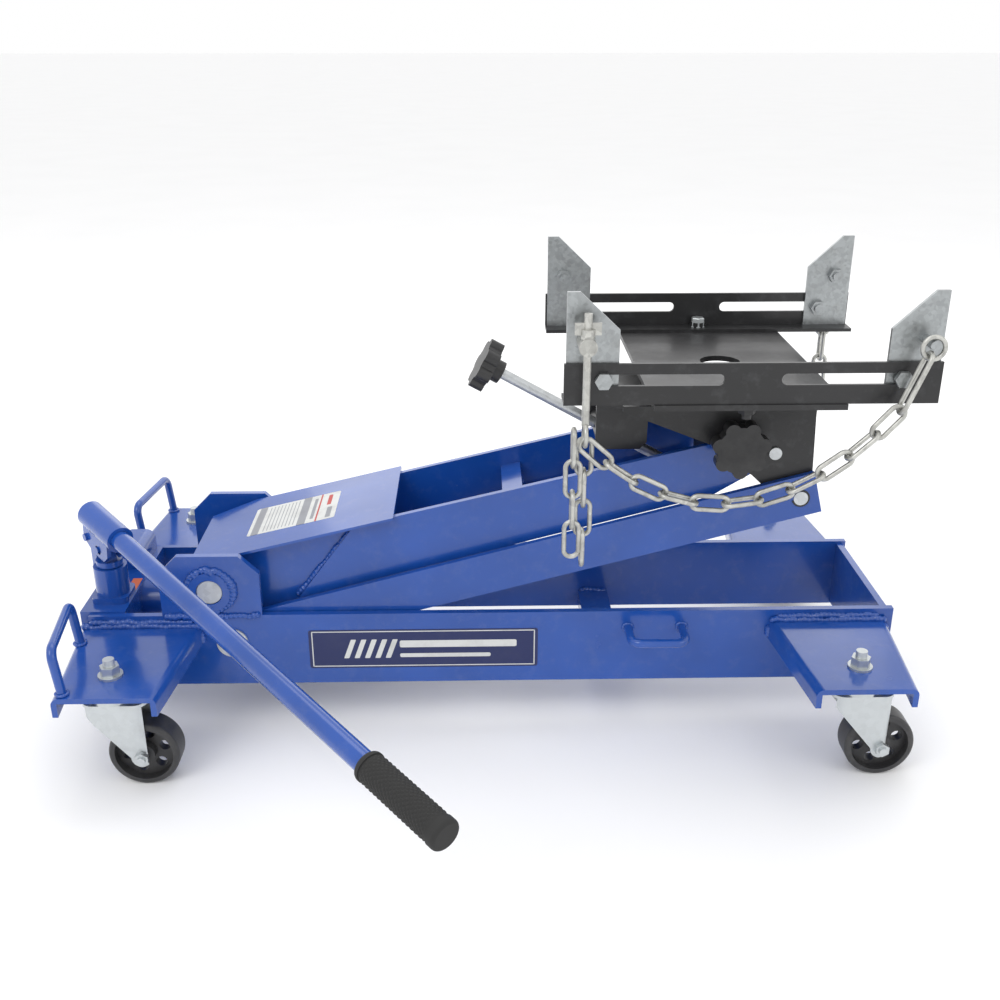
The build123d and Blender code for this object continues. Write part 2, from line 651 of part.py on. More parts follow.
# ---- hydraulic unit ----------------------------------------------------------------------
plunger_x = PLUNGER_PIN.X
plunger_y = PLUNGER_PIN.Y
block_middle_x = (BLOCK_START_X + BLOCK_END_X) / 2
with BuildPart() as pump_block:
    with BuildSketch(Plane.XY.offset(BLOCK_TOP - BLOCK_HEIGHT)):
        with Locations((block_middle_x, 0)):
            Rectangle(BLOCK_LENGTH, 2 * FRAME_INNER)
    extrude(amount=BLOCK_HEIGHT)
    with BuildSketch(Plane.XY.offset(BLOCK_TOP)):
        with Locations((plunger_x, plunger_y)):
            RectangleRounded(2 * PUMP_RADIUS + 4.0, 2 * PUMP_RADIUS + 4.0, 8.0)
    extrude(amount=PEDESTAL_HEIGHT)
    with BuildSketch(Plane.XY.offset(PEDESTAL_TOP)):
        with Locations((plunger_x, plunger_y)):
            Circle(PUMP_RADIUS)
    extrude(amount=PUMP_HEIGHT)
    with BuildSketch(Plane(origin=(FULCRUM.X, FULCRUM.Y, BLOCK_TOP), x_dir=LEVER_FLAT, z_dir=(0, 0, 1))):
        Rectangle(14.0, LUG_GAP - 1.0)
    extrude(amount=FULCRUM.Z - BLOCK_TOP)
    with BuildSketch(Plane(origin=FULCRUM - LEVER_AXIS * (LUG_HALF_GAP - HOLD), z_dir=LEVER_AXIS)):
        Circle(7.0)
    extrude(amount=LUG_GAP - 1.0)
    with BuildSketch(Plane(origin=FULCRUM - LEVER_AXIS * LUG_HALF_GAP, z_dir=LEVER_AXIS)):
        Circle(FULCRUM_PIN_RADIUS + RUNNING_FIT)
    extrude(amount=LUG_GAP, mode=Mode.SUBTRACT)
    with BuildSketch(Plane.XY.offset(PUMP_TOP)):
        with Locations((plunger_x, plunger_y)):
            Circle(PLUNGER_RADIUS + RUNNING_FIT)
    extrude(amount=-PUMP_HEIGHT, mode=Mode.SUBTRACT)
    with BuildSketch(Plane.YZ.offset(BLOCK_END_X)):
        with Locations((0, RAM_Z)):
            Circle(RAM_CYLINDER_RADIUS)
    extrude(amount=-(BLOCK_END_X - RAM_CYLINDER_START_X), mode=Mode.SUBTRACT)
    with BuildSketch(Plane.YZ.offset(BLOCK_START_X)):
        with Locations((45.0, RAM_Z)):
            Circle(VALVE_RADIUS + RUNNING_FIT)
    extrude(amount=VALVE_LENGTH, mode=Mode.SUBTRACT)
export(pump_block.part, "pump_block")

with BuildPart() as reservoir:
    with BuildSketch(Plane.XY.offset(BLOCK_TOP)):
        with Locations((block_middle_x, FRAME_INNER - 6.0 - TANK_WIDTH / 2)):
            Rectangle(TANK_LENGTH, TANK_WIDTH)
    extrude(amount=TANK_HEIGHT)
    fillet(reservoir.edges().filter_by(Axis.Y).group_by(Axis.Z)[-1], radius=TANK_BEND)
export(reservoir.part, "reservoir")

with BuildPart() as ram_cylinder:
    with BuildSketch(Plane.YZ.offset(RAM_CYLINDER_START_X)):
        with Locations((0, RAM_Z)):
            Circle(RAM_CYLINDER_RADIUS)
    extrude(amount=RAM_CYLINDER_LENGTH)
    with BuildSketch(Plane.YZ.offset(RAM_CYLINDER_START_X + 6.0)):
        with Locations((0, RAM_Z)):
            Circle(RAM_RADIUS + RUNNING_FIT)
    extrude(amount=RAM_CYLINDER_LENGTH, mode=Mode.SUBTRACT)
export(ram_cylinder.part, "ram_cylinder")

# The ram's head has an upright slot, in which the arm's drive pin rises and falls.
slot_middle_z = (DRIVE_PIN_Z + PIVOT_Z - LEVER_RADIUS * cos(radians(40.0 - LEVER_ANGLE))) / 2
with BuildPart() as ram:
    with BuildSketch(Plane.YZ.offset(DRIVE_PIN_X - RAM_HEAD_LENGTH / 2)):
        with Locations((0, RAM_Z)):
            Circle(RAM_RADIUS)
    extrude(amount=-RAM_ROD_LENGTH)
    with BuildSketch(Plane.XY.offset(RAM_Z - RAM_HEAD_WIDTH / 2)):
        with Locations((DRIVE_PIN_X, 0)):
            Rectangle(RAM_HEAD_LENGTH, RAM_HEAD_WIDTH)
    extrude(amount=RAM_HEAD_WIDTH)
    with BuildSketch(Plane.XZ.offset(-RAM_HEAD_WIDTH / 2)):
        with Locations((DRIVE_PIN_X, slot_middle_z)):
            slot_long = 2 * (DRIVE_PIN_RADIUS + DRIVE_PIN_PLAY) + DRIVE_SLOT_RISE
            SlotOverall(slot_long, 2 * (DRIVE_PIN_RADIUS + DRIVE_PIN_PLAY), rotation=90)
    extrude(amount=RAM_HEAD_WIDTH, mode=Mode.SUBTRACT)
export(ram.part, "ram")

with BuildPart() as release_valve:
    with BuildSketch(Plane.YZ.offset(BLOCK_START_X + VALVE_LENGTH - 1.0)):
        with Locations((45.0, RAM_Z)):
            Circle(VALVE_RADIUS)
    extrude(amount=-(VALVE_LENGTH + 13.0))
    with BuildSketch(Plane.XZ.offset(-(45.0 + 16.0))):
        with Locations((BLOCK_START_X - 9.0, RAM_Z)):
            Circle(3.0)
    extrude(amount=32.0)
export(release_valve.part, "release_valve")


# ---- pump lever --------------------------------------------------------------------------
def lever_point(along, up, across=0.0):
    return LEVER_ORIGIN + LEVER_ALONG * along + LEVER_UP * up + LEVER_AXIS * across


def lever_side(across):
    """Plane parallel to the lever's upright middle plane, x along the lever."""
    return Plane(origin=lever_point(0, 0, across), x_dir=LEVER_ALONG, z_dir=LEVER_AXIS)


with BuildPart() as lever_socket:
    for across in (-LUG_OUTER, LUG_HALF_GAP):
        with BuildSketch(lever_side(across)):
            with BuildLine():
                Polyline(
                    (-SOCKET_BACK + 2.0, -SOCKET_RADIUS * 0.5),
                    (SOCKET_FRONT - 12.0, -SOCKET_RADIUS * 0.5),
                    (SOCKET_FRONT - 12.0, -LUG_DEPTH + 10.0),
                    (SOCKET_FRONT - 22.0, -LUG_DEPTH),
                    (-12.0, -LUG_DEPTH),
                    (-SOCKET_BACK + 2.0, -FULCRUM_BELOW - 4.0),
                    close=True,
                )
            make_face()
            with Locations((-FULCRUM_BACK, -FULCRUM_BELOW)):
                Circle(FULCRUM_PIN_RADIUS, mode=Mode.SUBTRACT)
            with Locations((PLUNGER_PIN_AHEAD + 0.3, -PLUNGER_PIN_BELOW)):
                slot_width = 2 * (PLUNGER_PIN_RADIUS + PLUNGER_PIN_PLAY)
                SlotOverall(slot_width + 4.0, slot_width, mode=Mode.SUBTRACT)
        extrude(amount=LUG_SHEET)
    with BuildSketch(Plane(origin=lever_point(-SOCKET_BACK, 0), z_dir=LEVER_ALONG)):
        Circle(SOCKET_RADIUS)
    extrude(amount=SOCKET_BACK + SOCKET_FRONT)
    with BuildSketch(Plane(origin=lever_point(-SOCKET_BACK + 6.0, 0), z_dir=LEVER_ALONG)):
        Circle(HANDLE_RADIUS + 0.2)
    extrude(amount=SOCKET_BACK + SOCKET_FRONT, mode=Mode.SUBTRACT)
with BuildPart() as fulcrum_pin:
    with BuildSketch(Plane(origin=FULCRUM - LEVER_AXIS * (LUG_OUTER + 3.0), z_dir=LEVER_AXIS)):
        Circle(FULCRUM_PIN_RADIUS)
    extrude(amount=2 * (LUG_OUTER + 3.0))
export(Compound(children=[lever_socket.part.solid(), fulcrum_pin.part.solid()]), "lever_socket")

with BuildPart() as handle_tube:
    with BuildSketch(Plane(origin=lever_point(-SOCKET_BACK + 10.0, 0), z_dir=LEVER_ALONG)):
        Circle(HANDLE_RADIUS)
        Circle(HANDLE_RADIUS - HANDLE_WALL, mode=Mode.SUBTRACT)
    extrude(amount=HANDLE_LENGTH + SOCKET_BACK - 10.0)
export(handle_tube.part, "handle_tube")

with BuildPart() as handle_grip:
    grip_start = HANDLE_LENGTH - GRIP_LENGTH + 8.0
    with BuildSketch(Plane(origin=lever_point(grip_start, 0), z_dir=LEVER_ALONG)):
        Circle(GRIP_RADIUS)
    extrude(amount=GRIP_LENGTH)
    with BuildSketch(Plane(origin=lever_point(grip_start, 0), z_dir=LEVER_ALONG)):
        Circle(HANDLE_RADIUS)
    extrude(amount=GRIP_LENGTH - 8.0, mode=Mode.SUBTRACT)
export(handle_grip.part, "handle_grip")

with BuildPart() as plunger:
    with BuildSketch(Plane.XY.offset(PEDESTAL_TOP + 3.0)):
        with Locations((plunger_x, plunger_y)):
            Circle(PLUNGER_RADIUS)
    extrude(amount=PUMP_HEIGHT)
    with BuildSketch(Plane.XY.offset(PUMP_TOP + 1.0)):
        with Locations((plunger_x, plunger_y)):
            Circle(PLUNGER_CAP_RADIUS)
    extrude(amount=7.0)
    with BuildSketch(Plane(origin=(plunger_x, plunger_y, PUMP_TOP + 1.0), x_dir=LEVER_FLAT, z_dir=(0, 0, 1))):
        Rectangle(16.0, LUG_GAP - 1.0)
    extrude(amount=PLUNGER_PIN.Z - PUMP_TOP - 1.0)
    with BuildSketch(Plane(origin=PLUNGER_PIN - LEVER_AXIS * (LUG_HALF_GAP - HOLD), z_dir=LEVER_AXIS)):
        Circle(8.0)
    extrude(amount=LUG_GAP - 1.0)
    with BuildSketch(Plane(origin=PLUNGER_PIN - LEVER_AXIS * (LUG_OUTER + 2.0), z_dir=LEVER_AXIS)):
        Circle(PLUNGER_PIN_RADIUS)
    extrude(amount=2 * (LUG_OUTER + 2.0))
export(plunger.part, "plunger")

# ---- lift arm ----------------------------------------------------------------------------
ARM_TOP_FALL = (ARM_TOP_AT_PIVOT - ARM_TOP_AT_TIP) / ARM_LENGTH


def arm_top(along):
    """Height of the arm's top edge above the line from pivot to tip."""
    return ARM_TOP_AT_PIVOT - along * ARM_TOP_FALL


BEAM_START_TOP = 175.0
BEAM_START_BOTTOM = 86.0
BEAM_TAPER_START = ARM_LENGTH - 90.0


def make_arm_beam(side):
    """Pressed beam: an upright web with an inward flange along its bottom edge."""
    points = [
        (BEAM_START_BOTTOM, -ARM_BOTTOM),
        (BEAM_START_TOP, arm_top(BEAM_START_TOP)),
        (ARM_LENGTH, arm_top(ARM_LENGTH)),
        (ARM_LENGTH + 15.0, 6.0),
        (ARM_LENGTH + 18.0, -6.0),
        (ARM_LENGTH + 10.0, -16.0),
        (BEAM_TAPER_START, -ARM_BOTTOM),
    ]
    flange_start = BEAM_START_TOP + 20.0
    with BuildPart() as arm_beam:
        with BuildSketch(along_arm(side, ARM_INNER)):
            Polygon(*outline(side, points, tall), align=None)
        extrude(amount=ARM_SHEET)
        with BuildSketch(along_arm(side, ARM_INNER - ARM_FLANGE)):
            middle = (flange_start + BEAM_TAPER_START) / 2
            with Locations(tall(side, middle, -ARM_BOTTOM + ARM_SHEET / 2)):
                Rectangle(BEAM_TAPER_START - flange_start, ARM_SHEET)
        extrude(amount=ARM_FLANGE + ARM_SHEET / 2)
        with BuildSketch(along_arm(side, ARM_INNER)):
            with Locations(tall(side, ARM_LENGTH, 0)):
                Circle(TIP_PIN_RADIUS)
        extrude(amount=ARM_SHEET, mode=Mode.SUBTRACT)
    return arm_beam.part


for side in (RIGHT, LEFT):
    export(make_arm_beam(side), f"arm_beam_{name_of(side)}")

# Root plates join the beams to the hub and hold the drive pin below the pivot.
drive_along = Vector(DRIVE_PIN_X - PIVOT_X, 0, DRIVE_PIN_Z - PIVOT_Z).dot(ARM_ALONG)
drive_up = Vector(DRIVE_PIN_X - PIVOT_X, 0, DRIVE_PIN_Z - PIVOT_Z).dot(ARM_UP)
ROOT_OUTER = ARM_INNER
ROOT_INNER = ROOT_OUTER - ARM_SHEET
with BuildPart() as arm_root_plates:
    for side in (RIGHT, LEFT):
        points = [
            (-30.0, 0.0),
            (-22.0, arm_top(0) - 4.0),
            (BEAM_START_TOP + 14.0, arm_top(BEAM_START_TOP + 14.0)),
            (BEAM_START_TOP + 14.0, -ARM_BOTTOM + 2.0),
            (60.0, -ARM_BOTTOM - 4.0),
            (drive_along + 16.0, drive_up - 16.0),
            (drive_along - 8.0, drive_up - 16.0),
            (drive_along - 18.0, drive_up - 4.0),
            (drive_along - 18.0, drive_up + 12.0),
        ]
        with BuildSketch(along_arm(side, ROOT_INNER)):
            Polygon(*outline(side, points, tall), align=None)
            with Locations(tall(side, 0, 0)):
                Circle(HUB_RADIUS, mode=Mode.SUBTRACT)
            with Locations(tall(side, drive_along, drive_up)):
                Circle(DRIVE_PIN_RADIUS, mode=Mode.SUBTRACT)
        extrude(amount=ARM_SHEET)
export(arm_root_plates.part, "arm_root_plates")

hub_half = FRAME_INNER - FACE_PLAY
with BuildPart() as arm_hub:
    with BuildSketch(Plane.XZ.offset(-hub_half)):
        with Locations((PIVOT_X, PIVOT_Z)):
            Circle(HUB_RADIUS)
            Circle(SHAFT_RADIUS + RUNNING_FIT, mode=Mode.SUBTRACT)
    extrude(amount=2 * hub_half)
export(arm_hub.part, "arm_hub")

# Two pins press into the arm: one drives the ram's head, the other carries the saddle.
with BuildPart() as arm_pins:
    with BuildSketch(Plane.XZ.offset(-ROOT_OUTER)):
        with Locations((DRIVE_PIN_X, DRIVE_PIN_Z)):
            Circle(DRIVE_PIN_RADIUS)
    extrude(amount=2 * ROOT_OUTER)
    with BuildSketch(Plane.XZ.offset(-CARRIER_OUTER)):
        with Locations((TIP_X, TIP_Z)):
            Circle(TIP_PIN_RADIUS)
    extrude(amount=2 * CARRIER_OUTER)
export(arm_pins.part, "arm_pins")

with BuildPart() as arm_crossbar:
    bar_drop = ARM_BAR_HEIGHT / 2 + 1.0
    bar_base = Vector(PIVOT_X, -ARM_INNER, PIVOT_Z) + ARM_ALONG * ARM_BAR_AT - ARM_UP * bar_drop
    with BuildSketch(Plane(origin=bar_base, x_dir=ARM_ALONG, z_dir=(0, 1, 0))):
        Rectangle(ARM_BAR_WIDTH, ARM_BAR_HEIGHT)
    extrude(amount=2 * ARM_INNER)
export(arm_crossbar.part, "arm_crossbar")

COVER_ALONG = (ARM_ALONG - ARM_UP * ARM_TOP_FALL).normalized()
COVER_UP = (ARM_UP + ARM_ALONG * ARM_TOP_FALL).normalized()
cover_origin = Vector(PIVOT_X, 0, PIVOT_Z) + ARM_UP * ARM_TOP_AT_PIVOT
with BuildPart() as arm_cover:
    with BuildSketch(Plane(origin=cover_origin, x_dir=COVER_ALONG, z_dir=COVER_UP)):
        Polygon(
            (COVER_START, -COVER_NOSE_WIDTH / 2),
            (COVER_START + COVER_TAPER, -COVER_WIDTH / 2),
            (COVER_START + COVER_LENGTH, -COVER_WIDTH / 2),
            (COVER_START + COVER_LENGTH, COVER_WIDTH / 2),
            (COVER_START + COVER_TAPER, COVER_WIDTH / 2),
            (COVER_START, COVER_NOSE_WIDTH / 2),
            align=None,
        )
    extrude(amount=COVER_SHEET)
export(arm_cover.part, "arm_cover")


# ---- levelling links -----------------------------------------------------------------------
def make_link(side):
    """Flat bar parallel to the arm, from the frame to the saddle carrier."""
    origin = (LINK_ROOT_X, side * LINK_INNER, LINK_ROOT_Z)
    with BuildPart() as level_link:
        with BuildSketch(Plane(origin=origin, x_dir=ARM_ALONG, z_dir=(0, side, 0))):
            with Locations(tall(side, ARM_LENGTH / 2, LINK_AXIS_RISE)):
                Rectangle(ARM_LENGTH + 2 * LINK_END, LINK_DEPTH)
            with Locations(tall(side, 0, 0)):
                Circle(LINK_PIN_RADIUS + RUNNING_FIT, mode=Mode.SUBTRACT)
            with Locations(tall(side, ARM_LENGTH, 0)):
                Circle(LINK_TIP_PIN_RADIUS + RUNNING_FIT, mode=Mode.SUBTRACT)
        extrude(amount=LINK_SHEET)
    return level_link.part


for side in (RIGHT, LEFT):
    export(make_link(side), f"level_link_{name_of(side)}")

# ---- saddle carrier ------------------------------------------------------------------------
with BuildPart() as carrier:
    for side in (RIGHT, LEFT):
        points = [
            (TIP_X - CARRIER_BACK, CARRIER_TOP),
            (TIP_X + CARRIER_AHEAD, CARRIER_TOP),
            (TIP_X + CARRIER_AHEAD + 4.0, LINK_TIP_Z - 8.0),
            (LINK_TIP_X + 6.0, LINK_TIP_Z - 16.0),
            (LINK_TIP_X - 14.0, LINK_TIP_Z - 14.0),
            (TIP_X - 34.0, TIP_Z - 42.0),
            (TIP_X - CARRIER_BACK, TIP_Z - 8.0),
        ]
        with BuildSketch(upright(side, CARRIER_INNER)):
            Polygon(*outline(side, points, flat), align=None)
            with Locations(flat(side, TIP_X, TIP_Z)):
                Circle(TIP_PIN_RADIUS + RUNNING_FIT, mode=Mode.SUBTRACT)
            with Locations(flat(side, LINK_TIP_X, LINK_TIP_Z)):
                Circle(LINK_TIP_PIN_RADIUS, mode=Mode.SUBTRACT)
            with Locations(flat(side, TILT_X, TILT_Z)):
                Circle(TILT_PIN_RADIUS, mode=Mode.SUBTRACT)
        extrude(amount=CARRIER_SHEET)
    with BuildSketch(Plane.XY.offset(CARRIER_TOP - CARRIER_SHEET)):
        with Locations((TIP_X + (CARRIER_AHEAD - CARRIER_BACK) / 2, 0)):
            Rectangle(CARRIER_AHEAD + CARRIER_BACK, 2 * CARRIER_INNER)
    extrude(amount=CARRIER_SHEET)
    with BuildSketch(Plane.YZ.offset(TIP_X - CARRIER_BACK)):
        with Locations((0, CARRIER_TOP - 50.0)):
            Rectangle(84.0, 100.0)
    extrude(amount=CARRIER_SHEET)
export(carrier.part, "carrier")

with BuildPart() as carrier_pins:
    for side in (RIGHT, LEFT):
        with BuildSketch(upright(side, CARRIER_INNER)):
            with Locations(flat(side, LINK_TIP_X, LINK_TIP_Z)):
                Circle(LINK_TIP_PIN_RADIUS)
        extrude(amount=LINK_OUTER + 1.2 - CARRIER_INNER)
        with BuildSketch(upright(side, CARRIER_INNER)):
            with Locations(flat(side, TILT_X, TILT_Z)):
                Circle(TILT_PIN_RADIUS)
        extrude(amount=CRADLE_OUTER + 3.0 - CARRIER_INNER)
export(carrier_pins.part, "carrier_pins")

# ---- tilt cradle -----------------------------------------------------------------------------
screw_direction = Vector(cos(radians(SCREW_SLOPE)), 0, -sin(radians(SCREW_SLOPE)))
trunnion = Vector(YOKE_X + 13.0, 0, CRADLE_TOP - 52.0)
screw_start = trunnion - screw_direction * SCREW_KNOB_BEFORE_TRUNNION
cradle_low = CRADLE_TOP - YOKE_DEPTH
with BuildPart() as cradle:
    for side in (RIGHT, LEFT):
        plate_points = [
            (TIP_X - CARRIER_BACK - 4.0 - GUSSET_LENGTH, CRADLE_TOP),
            (TIP_X + CARRIER_AHEAD - 2.0, CRADLE_TOP),
            (TIP_X + CARRIER_AHEAD - 2.0, TIP_Z - 22.0),
            (TIP_X - 36.0, TIP_Z - 26.0),
            (TIP_X - CARRIER_BACK - 4.0, TIP_Z - 4.0),
            (TIP_X - CARRIER_BACK - 4.0 - GUSSET_LENGTH, CRADLE_TOP - GUSSET_LIP),
        ]
        with BuildSketch(upright(side, CRADLE_INNER)):
            Polygon(*outline(side, plate_points, flat), align=None)
            with Locations(flat(side, TILT_X, TILT_Z)):
                Circle(TILT_PIN_RADIUS + RUNNING_FIT, mode=Mode.SUBTRACT)
        extrude(amount=CRADLE_SHEET)
        yoke_points = [
            (YOKE_X, CRADLE_TOP),
            (TIP_X - CARRIER_BACK - 8.0, CRADLE_TOP),
            (TIP_X - CARRIER_BACK - 8.0, CRADLE_TOP - 42.0),
            (YOKE_X + YOKE_LENGTH, CRADLE_TOP - 21.0),
            (YOKE_X + YOKE_LENGTH, cradle_low + 8.0),
            (YOKE_X + YOKE_LENGTH - 8.0, cradle_low),
            (YOKE_X + 5.0, cradle_low),
            (YOKE_X, cradle_low + 5.0),
        ]
        with BuildSketch(upright(side, YOKE_INNER)):
            Polygon(*outline(side, yoke_points, flat), align=None)
        extrude(amount=CRADLE_SHEET)
    with BuildSketch(Plane.XY.offset(CRADLE_TOP - CRADLE_SHEET)):
        with Locations(((TIP_X - CARRIER_BACK - 4.0 + TIP_X + CARRIER_AHEAD - 2.0) / 2, 0)):
            Rectangle(CARRIER_BACK + CARRIER_AHEAD + 2.0, 2 * CRADLE_INNER)
        with Locations(((YOKE_X + TIP_X - CARRIER_BACK) / 2, 0)):
            Rectangle(TIP_X - CARRIER_BACK - YOKE_X, 2 * YOKE_OUTER)
    extrude(amount=CRADLE_SHEET)
    with BuildSketch(Plane(origin=trunnion - Vector(0, YOKE_INNER, 0), x_dir=(1, 0, 0), z_dir=(0, 1, 0))):
        Circle(12.0)
    extrude(amount=2 * YOKE_INNER)
    for lug_x in (SADDLE_X - 78.0, SADDLE_X + 66.0):
        with BuildSketch(Plane.YZ.offset(lug_x)):
            with Locations((0, (CRADLE_TOP + ROLL_AXIS_HEIGHT) / 2)):
                Rectangle(20.0, ROLL_AXIS_HEIGHT - CRADLE_TOP)
            with Locations((0, ROLL_AXIS_HEIGHT)):
                Circle(8.5)
        extrude(amount=10.0)
    for lug_x in (SADDLE_X - 78.0, SADDLE_X + 66.0):
        with BuildSketch(Plane.YZ.offset(lug_x)):
            with Locations((0, ROLL_AXIS_HEIGHT)):
                Circle(ROLL_PIN_RADIUS)
        extrude(amount=10.0, mode=Mode.SUBTRACT)
    with BuildSketch(Plane(origin=trunnion - screw_direction * 20.0, z_dir=screw_direction)):
        Circle(SCREW_RADIUS + RUNNING_FIT)
    extrude(amount=40.0, mode=Mode.SUBTRACT)
    with BuildSketch(Plane.XZ.offset(-CRADLE_OUTER)):
        with Locations((TIP_X - SIDE_KNOB_FROM_TIP, ROLL_AXIS_HEIGHT - SIDE_SCREW_BELOW_ROLL)):
            Circle(SCREW_RADIUS + RUNNING_FIT)
    extrude(amount=2 * CRADLE_OUTER, mode=Mode.SUBTRACT)
export(cradle.part, "cradle")


def knob_outline(radius, lobes):
    """Circle with rounded lobes round its edge, for a hand knob."""
    Circle(radius * 0.82)
    with PolarLocations(radius - radius * 0.26, lobes):
        Circle(radius * 0.26)


with BuildPart() as tilt_screw:
    with BuildSketch(Plane(origin=screw_start, z_dir=screw_direction)):
        Circle(SCREW_RADIUS)
    extrude(amount=SCREW_KNOB_BEFORE_TRUNNION + SCREW_PAST_TRUNNION)
export(tilt_screw.part, "tilt_screw")

with BuildPart() as tilt_knob:
    with BuildSketch(Plane(origin=screw_start, z_dir=screw_direction)):
        knob_outline(KNOB_RADIUS, KNOB_LOBES)
    extrude(amount=-KNOB_THICKNESS)
    with BuildSketch(Plane(origin=screw_start, z_dir=screw_direction)):
        Circle(KNOB_HUB)
        Circle(SCREW_RADIUS, mode=Mode.SUBTRACT)
    extrude(amount=12.0)
export(tilt_knob.part, "tilt_knob")

side_screw_x = TIP_X - SIDE_KNOB_FROM_TIP
side_screw_z = ROLL_AXIS_HEIGHT - SIDE_SCREW_BELOW_ROLL
with BuildPart() as side_knob:
    with BuildSketch(Plane(origin=(side_screw_x, -CRADLE_OUTER - 14.0, side_screw_z), z_dir=(0, -1, 0))):
        knob_outline(SIDE_KNOB_RADIUS, KNOB_LOBES)
    extrude(amount=KNOB_THICKNESS)
    with BuildSketch(Plane(origin=(side_screw_x, -CRADLE_OUTER - FACE_PLAY, side_screw_z), z_dir=(0, -1, 0))):
        Circle(KNOB_HUB)
    extrude(amount=14.0)
    with BuildSketch(Plane(origin=(side_screw_x, -CRADLE_OUTER - FACE_PLAY, side_screw_z), z_dir=(0, 1, 0))):
        Circle(SCREW_RADIUS)
    extrude(amount=FACE_PLAY + CRADLE_SHEET)
export(side_knob.part, "side_knob")

# ---- saddle plate ----------------------------------------------------------------------------
with BuildPart() as saddle_plate:
    with BuildSketch(Plane.XY.offset(SADDLE_PLATE_BOTTOM)):
        with Locations((SADDLE_X, 0)):
            Rectangle(SADDLE_PLATE_LENGTH, SADDLE_PLATE_WIDTH)
            Circle(SADDLE_BORE_RADIUS, mode=Mode.SUBTRACT)
        for side in (RIGHT, LEFT):
            slot_y = side * (RAIL_FACE - RAIL_BOLT_FROM_FACE - RAIL_TRAVEL / 2)
            with Locations((SADDLE_X, slot_y)):
                slot_width = 2 * (RAIL_BOLT_RADIUS + BOLT_PLAY)
                SlotOverall(RAIL_TRAVEL + slot_width, slot_width, rotation=90, mode=Mode.SUBTRACT)
    extrude(amount=SADDLE_PLATE_SHEET)
    with BuildSketch(Plane.YZ.offset(SADDLE_X - 64.0)):
        with Locations((0, (SADDLE_PLATE_BOTTOM + ROLL_AXIS_HEIGHT) / 2)):
            Rectangle(20.0, SADDLE_PLATE_BOTTOM - ROLL_AXIS_HEIGHT)
        with Locations((0, ROLL_AXIS_HEIGHT)):
            Circle(8.0)
            Circle(ROLL_PIN_RADIUS + RUNNING_FIT, mode=Mode.SUBTRACT)
    extrude(amount=126.0)
export(saddle_plate.part, "saddle_plate")

with BuildPart() as roll_pin:
    with BuildSketch(Plane.YZ.offset(SADDLE_X - 82.0)):
        with Locations((0, ROLL_AXIS_HEIGHT)):
            Circle(ROLL_PIN_RADIUS)
    extrude(amount=162.0)
export(roll_pin.part, "roll_pin")


# ---- rails and brackets ------------------------------------------------------------------------
def make_rail(side):
    """Angle rail with two long slots and the bolt and nut that clamp it to the plate."""
    bolt_y = side * (RAIL_FACE - RAIL_BOLT_FROM_FACE)
    with BuildPart() as rail:
        with BuildSketch(upright(side, BRACKET_FACE)):
            with Locations(flat(side, SADDLE_X, RAIL_BASE + RAIL_HEIGHT / 2)):
                Rectangle(RAIL_LENGTH, RAIL_HEIGHT)
            for half in (-1, 1):
                with Locations(flat(side, SADDLE_X + half * SLOT_MIDDLE_X, BOLT_HEIGHT)):
                    SlotOverall(RAIL_SLOT_LENGTH, RAIL_SLOT_WIDTH, mode=Mode.SUBTRACT)
        extrude(amount=RAIL_SHEET)
        with BuildSketch(Plane.XY.offset(RAIL_BASE)):
            with Locations((SADDLE_X, side * (RAIL_FACE - RAIL_FLANGE / 2))):
                Rectangle(RAIL_LENGTH, RAIL_FLANGE)
            with Locations((SADDLE_X, bolt_y)):
                Circle(RAIL_BOLT_RADIUS, mode=Mode.SUBTRACT)
        extrude(amount=RAIL_SHEET)
    with BuildPart() as rail_bolt:
        with BuildSketch(Plane.XY.offset(RAIL_BASE + RAIL_SHEET)):
            with Locations((SADDLE_X, bolt_y)):
                RegularPolygon(radius=9.0, side_count=6)
        extrude(amount=6.0)
        with BuildSketch(Plane.XY.offset(SADDLE_PLATE_BOTTOM - 14.0)):
            with Locations((SADDLE_X, bolt_y)):
                Circle(RAIL_BOLT_RADIUS)
        extrude(amount=RAIL_BASE + RAIL_SHEET - SADDLE_PLATE_BOTTOM + 14.0)
        with BuildSketch(Plane.XY.offset(SADDLE_PLATE_BOTTOM)):
            with Locations((SADDLE_X, bolt_y)):
                RegularPolygon(radius=9.0, side_count=6)
        extrude(amount=-8.0)
    return Compound(children=[rail.part.solid(), rail_bolt.part.solid()])


def anchor_out(end, side):
    """How far an anchor bolt stands out of its bracket: long where a chain ring hangs."""
    if side == RIGHT and end == PUMP:
        return CHAIN_OFFSET - BARREL_RADIUS / 2
    if end == PUMP:
        return BRACKET_ANCHOR_OUT
    return CHAIN_OFFSET + CHAIN_WIRE + RAIL_SHEET + 2.0


